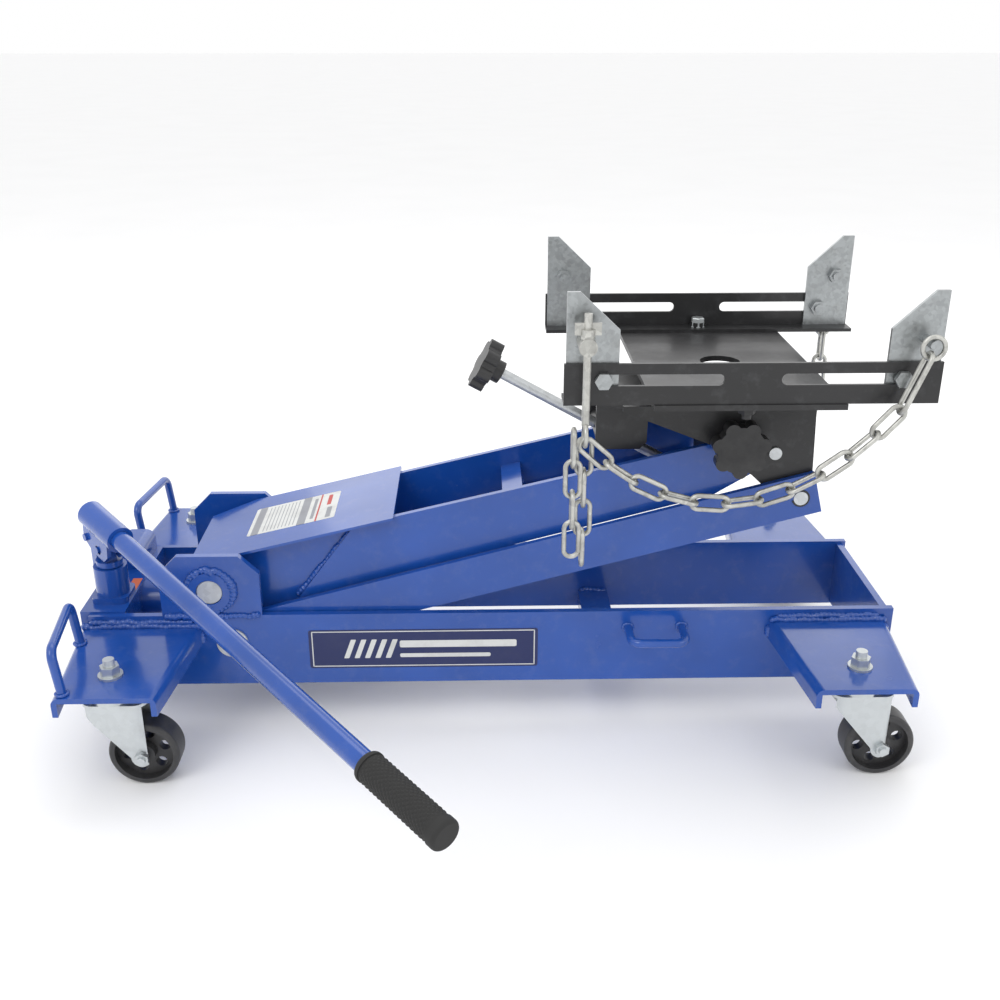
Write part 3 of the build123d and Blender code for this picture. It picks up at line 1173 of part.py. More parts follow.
def make_bracket(end, side):
    """Upright corner bracket, with its clamp bolt and the anchor bolt as own solids."""
    x = SADDLE_X + end * BRACKET_X
    outer_x = x + end * BRACKET_WIDTH / 2
    inner_x = x - end * BRACKET_WIDTH / 2
    bolt_x = SADDLE_X + end * BRACKET_BOLT_X
    anchor_x = outer_x - end * BRACKET_ANCHOR_INSET
    anchor_z = BRACKET_BASE + BRACKET_ANCHOR_HEIGHT
    inner_face = BRACKET_FACE - BRACKET_SHEET
    points = [
        (outer_x, BRACKET_BASE),
        (outer_x, BRACKET_BASE + BRACKET_HEIGHT),
        (outer_x - end * BRACKET_TOP, BRACKET_BASE + BRACKET_HEIGHT),
        (inner_x, BRACKET_BASE + BRACKET_INNER_HEIGHT),
        (inner_x, BRACKET_BASE),
    ]
    with BuildPart() as bracket:
        with BuildSketch(upright(side, inner_face)):
            Polygon(*outline(side, points, flat), align=None)
            for hole in ((bolt_x, BOLT_HEIGHT), (anchor_x, anchor_z)):
                with Locations(flat(side, *hole)):
                    Circle(BRACKET_BOLT_RADIUS, mode=Mode.SUBTRACT)
        extrude(amount=BRACKET_SHEET)
    with BuildPart() as clamp_bolt:
        with BuildSketch(upright(side, inner_face - 11.0)):
            with Locations(flat(side, bolt_x, BOLT_HEIGHT)):
                Circle(BRACKET_BOLT_RADIUS)
        extrude(amount=11.0 + BRACKET_SHEET + RAIL_SHEET)
        with BuildSketch(upright(side, inner_face - 8.0)):
            with Locations(flat(side, bolt_x, BOLT_HEIGHT)):
                RegularPolygon(radius=9.2, side_count=6)
        extrude(amount=8.0)
        with BuildSketch(upright(side, RAIL_FACE)):
            with Locations(flat(side, bolt_x, BOLT_HEIGHT)):
                RegularPolygon(radius=9.2, side_count=6)
        extrude(amount=6.0)
    with BuildPart() as anchor_bolt:
        with BuildSketch(upright(side, inner_face - 11.0)):
            with Locations(flat(side, anchor_x, anchor_z)):
                Circle(BRACKET_BOLT_RADIUS)
        extrude(amount=11.0 + BRACKET_SHEET + anchor_out(end, side))
        with BuildSketch(upright(side, inner_face - 8.0)):
            with Locations(flat(side, anchor_x, anchor_z)):
                RegularPolygon(radius=9.2, side_count=6)
        extrude(amount=8.0)
    return Compound(children=[bracket.part.solid(), clamp_bolt.part.solid(), anchor_bolt.part.solid()])


for side in (RIGHT, LEFT):
    export(make_rail(side), f"rail_{name_of(side)}")
    for end in (PUMP, SADDLE):
        export(make_bracket(end, side), f"bracket_{end_of(end)}_{name_of(side)}")

# ---- chain -------------------------------------------------------------------------------
CHAIN_Y = RAIL_FACE + CHAIN_OFFSET
ANCHOR_Z = BRACKET_BASE + BRACKET_ANCHOR_HEIGHT
ANCHOR_X = BRACKET_X + BRACKET_WIDTH / 2 - BRACKET_ANCHOR_INSET
LINK_BEND = (CHAIN_LINK_WIDTH - CHAIN_WIRE) / 2
LINK_PITCH = CHAIN_LINK_LENGTH - 2 * CHAIN_WIRE - CHAIN_PLAY
HALF_GRIP = (CHAIN_WIRE + CHAIN_PLAY) / 2
SIDEWAYS = Vector(0, 1, 0)


def chain_link(start, finish, across):
    """Round-wire link that spans two points where it meets its neighbours.

    `across` is the direction of the link's width.
    """
    along = (finish - start).normalized()
    middle = (start + finish) * 0.5
    straight = (finish - start).length + 2 * HALF_GRIP - 2 * LINK_BEND
    lying = Plane(origin=middle, x_dir=along, z_dir=along.cross(across))
    with BuildPart() as link:
        with BuildLine(lying):
            near = Line((-straight / 2, LINK_BEND), (straight / 2, LINK_BEND))
            nose = ThreePointArc(near @ 1, (straight / 2 + LINK_BEND, 0), (straight / 2, -LINK_BEND))
            far = Line(nose @ 1, (-straight / 2, -LINK_BEND))
            ThreePointArc(far @ 1, (-straight / 2 - LINK_BEND, 0), near @ 0)
        with BuildSketch(Plane(origin=lying.from_local_coords((-straight / 2, LINK_BEND, 0)), z_dir=along)):
            Circle(CHAIN_WIRE / 2)
        sweep()
    return link.part.solid()


def ring(centre, axis):
    """Closed round-wire ring."""
    with BuildPart() as loop:
        with Locations(Plane(origin=centre, z_dir=axis)):
            Torus(RING_RADIUS, CHAIN_WIRE / 2)
    return loop.part.solid()


def hanging_links(top, count):
    """Links that hang straight down from a point, each turned a quarter from the last."""
    links = []
    for number in range(count):
        start = top - Vector(0, 0, number * LINK_PITCH)
        across = Vector(1, 0, 0) if number % 2 == 0 else SIDEWAYS
        links.append(chain_link(start, start - Vector(0, 0, LINK_PITCH), across))
    return links


def drape_points(start, low_x, count):
    """Points one link apart along a hanging curve that begins at `start`."""
    low_z = start.Z - DRAPE_SIZE * (cosh((start.X - low_x) / DRAPE_SIZE) - 1)
    points = [start]
    for _ in range(count):
        last = points[-1]
        short, long = last.X, last.X + LINK_PITCH
        for _ in range(40):
            x = (short + long) / 2
            z = low_z + DRAPE_SIZE * (cosh((x - low_x) / DRAPE_SIZE) - 1)
            reached = Vector(x, start.Y, z)
            if (reached - last).length < LINK_PITCH:
                short = x
            else:
                long = x
        points.append(reached)
    return points


# The hook: a swivel barrel on the bracket's bolt, a rod through it with a wing nut, an eye.
hook_x = SADDLE_X - ANCHOR_X
eye_z = ANCHOR_Z - HOOK_ROD_BELOW - RING_RADIUS
barrel_inner = BRACKET_FACE + FACE_PLAY
with BuildPart() as chain_hook:
    with BuildSketch(upright(RIGHT, barrel_inner)):
        with Locations(flat(RIGHT, hook_x, ANCHOR_Z)):
            Circle(BARREL_RADIUS)
    extrude(amount=CHAIN_Y + BARREL_RADIUS - 1.0 - barrel_inner)
    with BuildSketch(upright(RIGHT, barrel_inner)):
        with Locations(flat(RIGHT, hook_x, ANCHOR_Z)):
            Circle(BRACKET_BOLT_RADIUS)
    extrude(amount=CHAIN_OFFSET + RAIL_SHEET - BARREL_RADIUS / 2, mode=Mode.SUBTRACT)
    with BuildSketch(Plane.XY.offset(ANCHOR_Z + HOOK_ROD_ABOVE)):
        with Locations((hook_x, -CHAIN_Y)):
            Circle(HOOK_ROD_RADIUS)
    extrude(amount=-(HOOK_ROD_ABOVE + HOOK_ROD_BELOW + 1.0))
    with BuildSketch(Plane.XY.offset(ANCHOR_Z + BARREL_RADIUS - 1.5)):
        with Locations((hook_x, -CHAIN_Y)):
            Circle(HOOK_ROD_RADIUS + 3.0)
    extrude(amount=9.5)
    with BuildSketch(Plane.XZ.offset(CHAIN_Y - 1.5)):
        with Locations((hook_x, ANCHOR_Z + BARREL_RADIUS + 8.0)):
            Rectangle(WING_NUT_WIDTH, 12.0)
    extrude(amount=3.0)
    with Locations(Plane(origin=(hook_x, -CHAIN_Y, eye_z), z_dir=(1, 0, 0))):
        Torus(RING_RADIUS, CHAIN_WIRE / 2)
export(chain_hook.part, "chain_hook")

eye_bottom = Vector(hook_x, -CHAIN_Y, eye_z - RING_RADIUS + HALF_GRIP + 0.6)
abreast = Vector(0, CHAIN_WIRE / 2 + 0.5, 0)
export(Compound(children=hanging_links(eye_bottom + abreast, CHAIN_TAIL_LINKS)), "chain_tail")

drape_start = eye_bottom - abreast - Vector(1.5, 0, 0)
drape = drape_points(drape_start, SADDLE_X - DRAPE_LOW_BEFORE_CENTRE, DRAPE_LINKS)
drape_links = []
for number in range(DRAPE_LINKS):
    along = (drape[number + 1] - drape[number]).normalized()
    across = SIDEWAYS.cross(along) if number % 2 == 0 else SIDEWAYS
    drape_links.append(chain_link(drape[number], drape[number + 1], across))
HALF_DRAPE = DRAPE_LINKS // 2
export(Compound(children=drape_links[:HALF_DRAPE]), "chain_drape_hook_half")
export(Compound(children=drape_links[HALF_DRAPE:]), "chain_drape_ring_half")

# A ring on the other bracket's bolt, and the shackle that joins the chain to it.
RING_DROP = RING_RADIUS - CHAIN_WIRE / 2 - BRACKET_BOLT_RADIUS - 0.3
ring_centre = Vector(SADDLE_X + ANCHOR_X, drape_start.Y, ANCHOR_Z - RING_DROP)
pull = (drape[-1] - ring_centre).normalized()
shackle_end = ring_centre + pull * (RING_RADIUS - HALF_GRIP)
shackle = chain_link(drape[-1], shackle_end, SIDEWAYS)
export(Compound(children=[ring(ring_centre, SIDEWAYS), shackle]), "chain_shackle")

spare_centre = Vector(SADDLE_X + ANCHOR_X, CHAIN_Y, ANCHOR_Z - RING_DROP)
spare_top = spare_centre - Vector(0, 0, RING_RADIUS - HALF_GRIP)
spare = [ring(spare_centre, SIDEWAYS)]
for number in range(SPARE_CHAIN_LINKS):
    start = spare_top - Vector(0, 0, number * LINK_PITCH)
    across = SIDEWAYS if number % 2 == 0 else Vector(1, 0, 0)
    spare.append(chain_link(start, start - Vector(0, 0, LINK_PITCH), across))
export(Compound(children=spare), "spare_chain")
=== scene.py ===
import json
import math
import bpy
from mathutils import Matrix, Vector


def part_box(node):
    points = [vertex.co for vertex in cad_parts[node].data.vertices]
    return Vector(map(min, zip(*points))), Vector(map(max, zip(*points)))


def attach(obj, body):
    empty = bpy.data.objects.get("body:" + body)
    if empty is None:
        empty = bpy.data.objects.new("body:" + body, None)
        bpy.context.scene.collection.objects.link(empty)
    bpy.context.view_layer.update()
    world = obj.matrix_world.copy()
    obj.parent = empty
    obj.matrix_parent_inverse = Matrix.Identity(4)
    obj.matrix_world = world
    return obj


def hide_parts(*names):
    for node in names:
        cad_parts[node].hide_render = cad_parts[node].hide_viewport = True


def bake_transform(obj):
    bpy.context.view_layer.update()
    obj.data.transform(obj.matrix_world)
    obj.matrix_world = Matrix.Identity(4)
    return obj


bl_info = {
    "name": "Transmission jack finish",
    "version": (1, 0, 0),
    "blender": (4, 5, 0),
    "location": "View3D > Sidebar > Jack",
    "description": "Finishes, welds, chain, labels and studio for the transmission jack",
    "category": "Object",
}

import bpy
import numpy as np
from mathutils import Matrix, Vector

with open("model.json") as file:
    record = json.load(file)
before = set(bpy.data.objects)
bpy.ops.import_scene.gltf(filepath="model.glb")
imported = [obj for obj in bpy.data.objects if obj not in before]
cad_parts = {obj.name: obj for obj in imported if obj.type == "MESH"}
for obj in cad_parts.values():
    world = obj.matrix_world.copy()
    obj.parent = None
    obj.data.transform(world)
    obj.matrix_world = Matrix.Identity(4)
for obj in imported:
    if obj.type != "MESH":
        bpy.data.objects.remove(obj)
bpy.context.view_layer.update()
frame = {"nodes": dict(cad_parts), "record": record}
NODES = frame["nodes"]
JOINTS = {j["name"]: j for j in frame["record"]["behaviour"]["joints"]}
SIDES = {"right": -1.0, "left": 1.0}
ENDS = {"pump": -1.0, "saddle": 1.0}


# ---- sizes and colours a user would change ------------------------------------------------
def colour(name, text, value):
    return bpy.props.FloatVectorProperty(
        name=name, description=text, subtype="COLOR", size=3, min=0, max=1, default=value
    )


def length(name, text, value):
    return bpy.props.FloatProperty(
        name=name, description=text, subtype="DISTANCE", unit="LENGTH", min=0, default=value
    )


class JackFinish(bpy.types.PropertyGroup):
    paint: colour("Paint", "Blue enamel of the frame and arm", (0.008, 0.066, 0.335))
    black: colour("Black", "Black enamel of the saddle", (0.014, 0.014, 0.015))
    zinc: colour("Zinc", "Plated steel of forks and brackets", (0.56, 0.59, 0.60))
    steel: colour("Steel", "Bare pins and shafts", (0.55, 0.57, 0.58))
    wheel: colour("Wheel", "Moulded caster wheels", (0.028, 0.028, 0.030))
    rubber: colour("Rubber", "Handle grip", (0.014, 0.014, 0.015))


class JackWelds(bpy.types.PropertyGroup):
    bead: length("Bead radius", "Radius of a weld bead", 0.0036)
    pitch: length("Ripple", "Distance between weld ripples", 0.0052)


class JackGrip(bpy.types.PropertyGroup):
    radius: length("Radius", "Outer radius of the grip", 0.0155)
    length: length("Length", "Length of the grip", 0.108)


class JackStage(bpy.types.PropertyGroup):
    floor: colour("Floor", "Studio floor", (0.95, 0.95, 0.955))
    reach: length("Floor reach", "Half the width of the floor", 30.0)
    camera: bpy.props.FloatVectorProperty(
        name="Camera", description="Camera position", subtype="TRANSLATION", default=(-0.010, -1.248, 0.765)
    )
    down: bpy.props.FloatProperty(name="Down", description="Camera pitch", subtype="ANGLE", default=math.radians(22.8))
    lens: bpy.props.FloatProperty(name="Lens", description="Focal length in mm", default=41.04)


# ---- mesh helpers ---------------------------------------------------------------------------
def put(name, verts, faces, smooth=True, sharp=35.0):
    """An object made of a vertex array and a list of faces."""
    mesh = bpy.data.meshes.new(name)
    mesh.from_pydata(np.asarray(verts, float).tolist(), [], [list(map(int, f)) for f in faces])
    mesh.validate()
    mesh.update()
    obj = bpy.data.objects.new(name, mesh)
    bpy.context.scene.collection.objects.link(obj)
    if smooth:
        mesh.shade_smooth()
        mesh.set_sharp_from_angle(angle=math.radians(sharp))
    return obj


def joined(parts):
    """Vertex array and faces of several (verts, faces) parts as one."""
    verts, faces, base = [], [], 0
    for v, f in parts:
        verts.append(v)
        faces += [tuple(np.asarray(q) + base) for q in f]
        base += len(v)
    return np.vstack(verts), faces


def grid_faces(rows, cols, wrap_rows, wrap_cols):
    """Quads of a grid of rows x cols points, closed round either way."""
    i, j = np.meshgrid(
        np.arange(rows if wrap_rows else rows - 1), np.arange(cols if wrap_cols else cols - 1), indexing="ij"
    )
    i2, j2 = (i + 1) % rows, (j + 1) % cols
    quads = np.stack([i * cols + j, i2 * cols + j, i2 * cols + j2, i * cols + j2], axis=-1)
    return quads.reshape(-1, 4)


def tube(path, radius, sides=16, closed=False, up=(0, 0, 1), scale=None):
    """Surface P(s, a) = path(s) + r(s, a) (cos a N(s) + sin a B(s)).

    N and B are square to the path's tangent, with B turned from `up`. `scale` multiplies
    the radius at each path point and angle. Open ends are capped by one face each.
    """
    path = np.asarray(path, float)
    if closed:
        tangent = np.roll(path, -1, axis=0) - np.roll(path, 1, axis=0)
    else:
        tangent = np.gradient(path, axis=0)
    tangent /= np.linalg.norm(tangent, axis=1, keepdims=True)
    normal = np.cross(np.broadcast_to(np.asarray(up, float), path.shape), tangent)
    normal /= np.linalg.norm(normal, axis=1, keepdims=True)
    binormal = np.cross(tangent, normal)
    angle = np.linspace(0, 2 * np.pi, sides, endpoint=False)
    size = np.full((len(path), sides), radius)
    if scale is not None:
        size = size * scale
    points = (
        path[:, None, :]
        + size[..., None] * (np.cos(angle)[None, :, None] * normal[:, None, :])
        + size[..., None] * (np.sin(angle)[None, :, None] * binormal[:, None, :])
    )
    faces = [tuple(q) for q in grid_faces(len(path), sides, closed, True)[:, ::-1]]
    if not closed:
        faces.append(tuple(range(sides)))
        last = (len(path) - 1) * sides
        faces.append(tuple(range(last + sides - 1, last - 1, -1)))
    return points.reshape(-1, 3), faces


def turned(profile, centre, axis, steps=48):
    """Surface of revolution: each (distance along, radius) of the profile turned round the axis."""
    axis = np.asarray(axis, float) / np.linalg.norm(axis)
    other = np.array([0.0, 0.0, 1.0]) if abs(axis[2]) < 0.9 else np.array([1.0, 0.0, 0.0])
    n = np.cross(other, axis)
    n /= np.linalg.norm(n)
    b = np.cross(axis, n)
    profile = np.asarray(profile, float)
    a = np.linspace(0, 2 * np.pi, steps, endpoint=False)
    points = (
        np.asarray(centre, float)
        + profile[:, None, 0:1] * axis
        + profile[:, None, 1:2] * (np.cos(a)[None, :, None] * n + np.sin(a)[None, :, None] * b)
    )
    faces = [tuple(q) for q in grid_faces(len(profile), steps, False, True)[:, ::-1]]
    faces.append(tuple(range(steps)))
    last = (len(profile) - 1) * steps
    faces.append(tuple(range(last + steps - 1, last - 1, -1)))
    return points.reshape(-1, 3), faces


def slab(centre, u, v, width, height, thick, radius=0.003, steps=6):
    """Rounded rectangle of width along u and height along v, raised by thick along u x v."""
    u, v = (np.asarray(w, float) / np.linalg.norm(w) for w in (u, v))
    n = np.cross(u, v)
    a = np.linspace(0, np.pi / 2, steps)
    corner = np.stack([np.cos(a), np.sin(a)], axis=1) * radius
    x, y = width / 2 - radius, height / 2 - radius
    quarter = [
        corner * (1, 1) + (x, y),
        corner[::-1] * (-1, 1) + (-x, y),
        corner * (-1, -1) + (-x, -y),
        corner[::-1] * (1, -1) + (x, -y),
    ]
    edge = np.vstack(quarter)
    low = np.asarray(centre, float) + edge[:, :1] * u + edge[:, 1:] * v
    points = np.vstack([low, low + n * thick])
    k = len(edge)
    faces = [(i, (i + 1) % k, k + (i + 1) % k, k + i) for i in range(k)]
    faces.append(tuple(range(k - 1, -1, -1)))
    faces.append(tuple(range(k, 2 * k)))
    return points, faces


def line(a, b, spacing=0.001):
    """Evenly spaced points from a to b."""
    a, b = np.asarray(a, float), np.asarray(b, float)
    count = max(3, int(np.linalg.norm(b - a) / spacing))
    return a + np.linspace(0, 1, count)[:, None] * (b - a)


def circle(centre, radius, axis, count=160, start=0.0, sweep=2 * math.pi):
    """Points round a circle square to the axis."""
    axis = np.asarray(axis, float) / np.linalg.norm(axis)
    other = np.array([0.0, 0.0, 1.0]) if abs(axis[2]) < 0.9 else np.array([1.0, 0.0, 0.0])
    n = np.cross(other, axis)
    n /= np.linalg.norm(n)
    b = np.cross(axis, n)
    a = start + np.linspace(0, sweep, count, endpoint=False)
    return np.asarray(centre, float) + radius * (np.cos(a)[:, None] * n + np.sin(a)[:, None] * b)


def bead(path, closed=False, seed=1, up=(0, 0, 1), radius=None):
    """Weld bead: a tube whose radius swells at each ripple and wanders slowly.

    r(s) = r0 (1 + 0.16 |sin(pi s / pitch)| + slow noise), and the line itself wavers.
    """
    welds = bpy.context.scene.jack_welds
    radius = radius or welds.bead
    rng = np.random.default_rng(seed)
    path = np.array(path, float)
    step = np.linalg.norm(np.diff(path, axis=0), axis=1)
    s = np.concatenate([[0], np.cumsum(step)])
    knots = np.linspace(0, s[-1], max(4, int(s[-1] / 0.006)))
    slow = np.interp(s, knots, rng.normal(0, 0.16, len(knots)))
    if closed:
        slow *= np.sin(np.pi * s / s[-1]) ** 0.3
    ripple = np.abs(np.sin(np.pi * s / welds.pitch))
    wander = np.interp(s, knots, rng.normal(0, radius * 0.16, len(knots)))
    path[:, 2] += wander
    size = 0.86 + 0.24 * ripple + slow
    if not closed:
        size *= np.clip(np.minimum(s, s[-1] - s) / (radius * 0.8) + 0.25, 0.2, 1) ** 0.5
    return tube(path, radius, 12, closed, up, size[:, None])


# ---- shader helpers ---------------------------------------------------------------------------
class Net:
    """A node tree with short calls for nodes and links."""

    def __init__(self, tree):
        self.tree = tree

    def node(self, kind, **values):
        node = self.tree.nodes.new(kind)
        for key, value in values.items():
            if key.startswith("in_"):
                name = key[3:].replace("_", " ")
                target = node.inputs[int(name)] if name.isdigit() else node.inputs[name]
                if isinstance(value, bpy.types.NodeSocket):
                    self.tree.links.new(value, target)
                else:
                    target.default_value = value
            else:
                setattr(node, key, value)
        return node

    def math(self, operation, a, b=0.0):
        return self.node("ShaderNodeMath", operation=operation, in_0=a, in_1=b).outputs[0]

    def mix(self, factor, a, b):
        node = self.tree.nodes.new("ShaderNodeMix")
        node.data_type = "RGBA"
        for socket, value in ((node.inputs[0], factor), (node.inputs[6], a), (node.inputs[7], b)):
            if isinstance(value, bpy.types.NodeSocket):
                self.tree.links.new(value, socket)
            else:
                socket.default_value = value
        return node.outputs[2]

    def noise(self, vector, scale, detail=3.0, rough=0.5):
        return self.node(
            "ShaderNodeTexNoise", in_Vector=vector, in_Scale=scale, in_Detail=detail, in_Roughness=rough
        ).outputs["Fac"]

    def span(self, value, low, high, out_low=0.0, out_high=1.0):
        return self.node(
            "ShaderNodeMapRange",
            in_Value=value,
            in_From_Min=low,
            in_From_Max=high,
            in_To_Min=out_low,
            in_To_Max=out_high,
        ).outputs[0]


def group(name, inputs, outputs):
    """A new shader node group with the given sockets, and its net and two end nodes."""
    tree = bpy.data.node_groups.new(name, "ShaderNodeTree")
    for label, kind, value in inputs:
        socket = tree.interface.new_socket(name=label, in_out="INPUT", socket_type=kind)
        socket.default_value = value
    for label, kind in outputs:
        tree.interface.new_socket(name=label, in_out="OUTPUT", socket_type=kind)
    net = Net(tree)
    return tree, net, net.node("NodeGroupInput"), net.node("NodeGroupOutput")


FLOAT, COLOR = "NodeSocketFloat", "NodeSocketColor"


def build_enamel():
    """Sprayed enamel: slight tone drift, dust patches, small chips and orange peel."""
    tree, net, start, end = group(
        "sprayed_enamel",
        [
            ("Paint", COLOR, (0.01, 0.05, 0.35, 1)),
            ("Drift", FLOAT, 0.12),
            ("Chips", FLOAT, 0.5),
            ("Peel", FLOAT, 1.0),
            ("Gloss", FLOAT, 0.22),
        ],
        [("Color", COLOR), ("Roughness", FLOAT), ("Height", FLOAT), ("Metallic", FLOAT)],
    )
    where = net.node("ShaderNodeTexCoord").outputs["Object"]
    o = start.outputs
    drift = net.span(net.noise(where, 9.0, 4.0), 0.3, 0.7, -1.0, 1.0)
    value = net.math("ADD", 1.0, net.math("MULTIPLY", drift, o["Drift"]))
    toned = net.node("ShaderNodeHueSaturation", in_Color=o["Paint"], in_Value=value).outputs[0]
    speck = net.noise(where, 240.0, 2.0, 0.6)
    area = net.noise(where, 22.0, 3.0, 0.6)
    chips = net.math("MULTIPLY", net.span(speck, 0.74, 0.78), net.span(area, 0.56, 0.66))
    chips = net.math("MULTIPLY", chips, o["Chips"])
    colour_out = net.mix(chips, toned, (0.16, 0.17, 0.19, 1))
    dust = net.math("MULTIPLY", net.span(net.noise(where, 60.0, 5.0, 0.65), 0.52, 0.85), 0.10)
    colour_out = net.mix(dust, colour_out, (0.30, 0.31, 0.33, 1))
    smear = net.span(net.noise(where, 14.0, 4.0, 0.6), 0.35, 0.75, -0.04, 0.09)
    rough = net.math("ADD", o["Gloss"], net.math("ADD", smear, net.math("MULTIPLY", chips, 0.4)))
    peel = net.math("MULTIPLY", net.noise(where, 520.0, 2.0), o["Peel"])
    height = net.math("SUBTRACT", peel, net.math("MULTIPLY", chips, 1.5))
    for label, socket in (("Color", colour_out), ("Roughness", rough), ("Height", height)):
        tree.links.new(socket, end.inputs[label])
    tree.links.new(net.math("MULTIPLY", chips, 0.6), end.inputs["Metallic"])
    return tree


def build_plating():
    """Zinc plating or bare steel: crystal patches, fine relief and dull stains."""
    tree, net, start, end = group(
        "plated_steel",
        [
            ("Metal", COLOR, (0.6, 0.62, 0.63, 1)),
            ("Spangle", FLOAT, 0.5),
            ("Spangle Scale", FLOAT, 150.0),
            ("Stain", FLOAT, 0.35),
            ("Gloss", FLOAT, 0.32),
        ],
        [("Color", COLOR), ("Roughness", FLOAT), ("Height", FLOAT)],
    )
    where = net.node("ShaderNodeTexCoord").outputs["Object"]
    o = start.outputs
    warp = net.node("ShaderNodeVectorMath", operation="ADD", in_0=where)
    cloud = net.node("ShaderNodeTexNoise", in_Vector=where, in_Scale=90.0, in_Detail=2.0).outputs["Color"]
    shift = net.node("ShaderNodeVectorMath", operation="SCALE", in_0=cloud)
    shift.inputs["Scale"].default_value = 0.006
    tree.links.new(shift.outputs[0], warp.inputs[1])
    cells = net.node("ShaderNodeTexVoronoi", in_Vector=warp.outputs[0], in_Scale=o["Spangle Scale"])
    tone = net.node("ShaderNodeSeparateColor", in_0=cells.outputs["Color"]).outputs[0]
    patch = net.span(tone, 0.0, 1.0, -1.0, 1.0)
    value = net.math("ADD", 1.0, net.math("MULTIPLY", patch, net.math("MULTIPLY", o["Spangle"], 0.28)))
    toned = net.node("ShaderNodeHueSaturation", in_Color=o["Metal"], in_Value=value).outputs[0]
    stain = net.math("MULTIPLY", net.span(net.noise(where, 46.0, 5.0, 0.7), 0.5, 0.75), o["Stain"])
    colour_out = net.mix(stain, toned, (0.20, 0.19, 0.18, 1))
    rough = net.math("ADD", o["Gloss"], net.math("MULTIPLY", patch, net.math("MULTIPLY", o["Spangle"], 0.12)))
    rough = net.math("ADD", rough, net.math("MULTIPLY", stain, 0.35))
    height = net.math("ADD", net.noise(where, 900.0, 2.0), net.math("MULTIPLY", tone, o["Spangle"]))
    for label, socket in (("Color", colour_out), ("Roughness", rough), ("Height", height)):
        tree.links.new(socket, end.inputs[label])
    return tree


def build_moulded():
    """Moulded plastic or rubber: fine grain and paler dusty patches."""
    tree, net, start, end = group(
        "moulded",
        [
            ("Base", COLOR, (0.03, 0.03, 0.03, 1)),
            ("Dust", FLOAT, 0.3),
            ("Grain Scale", FLOAT, 700.0),
            ("Gloss", FLOAT, 0.5),
        ],
        [("Color", COLOR), ("Roughness", FLOAT), ("Height", FLOAT)],
    )
    where = net.node("ShaderNodeTexCoord").outputs["Object"]
    o = start.outputs
    dust = net.math("MULTIPLY", net.span(net.noise(where, 38.0, 5.0, 0.68), 0.45, 0.8), o["Dust"])
    colour_out = net.mix(dust, o["Base"], (0.20, 0.195, 0.19, 1))
    rough = net.math("ADD", o["Gloss"], net.math("MULTIPLY", dust, 0.5))
    tree.links.new(colour_out, end.inputs["Color"])
    tree.links.new(rough, end.inputs["Roughness"])
    tree.links.new(net.noise(where, o["Grain Scale"], 3.0), end.inputs["Height"])
    return tree


EFFECTS = {}


def effect(name):
    """The shared node group of that name, built the first time it's asked for."""
    builders = {"enamel": build_enamel, "plating": build_plating, "moulded": build_moulded}
    if name not in EFFECTS:
        EFFECTS[name] = builders[name]()
    return EFFECTS[name]


def material(name, kind, values, coat=0.0, metallic=None, bump=0.08, reach=0.0004):
    """A Principled material driven by one shared effect with its own values."""
    mat = bpy.data.materials.new(name)
    mat.use_nodes = True
    net = Net(mat.node_tree)
    shader = mat.node_tree.nodes["Principled BSDF"]
    fx = mat.node_tree.nodes.new("ShaderNodeGroup")
    fx.node_tree = effect(kind)
    for key, value in values.items():
        fx.inputs[key].default_value = (*value, 1.0) if hasattr(value, "__len__") else value
    link = mat.node_tree.links.new
    link(fx.outputs["Color"], shader.inputs["Base Color"])
    link(fx.outputs["Roughness"], shader.inputs["Roughness"])
    if "Metallic" in fx.outputs and metallic is None:
        link(fx.outputs["Metallic"], shader.inputs["Metallic"])
    else:
        shader.inputs["Metallic"].default_value = metallic or 0.0
    shader.inputs["Coat Weight"].default_value = coat
    shader.inputs["Coat Roughness"].default_value = 0.08
    relief = net.node("ShaderNodeBump", in_Strength=bump, in_Distance=reach)
    link(fx.outputs["Height"], relief.inputs["Height"])
    link(relief.outputs[0], shader.inputs["Normal"])
    return mat


def finish_of(name):
    return bpy.data.materials[name]


def dress(obj, name):
    obj.data.materials.clear()
    obj.data.materials.append(finish_of(name))


def centre(node):
    low, high = (np.array(c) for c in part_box(node))
    return (low + high) / 2


def corners(node):
    low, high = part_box(node)
    return np.array(low), np.array(high)


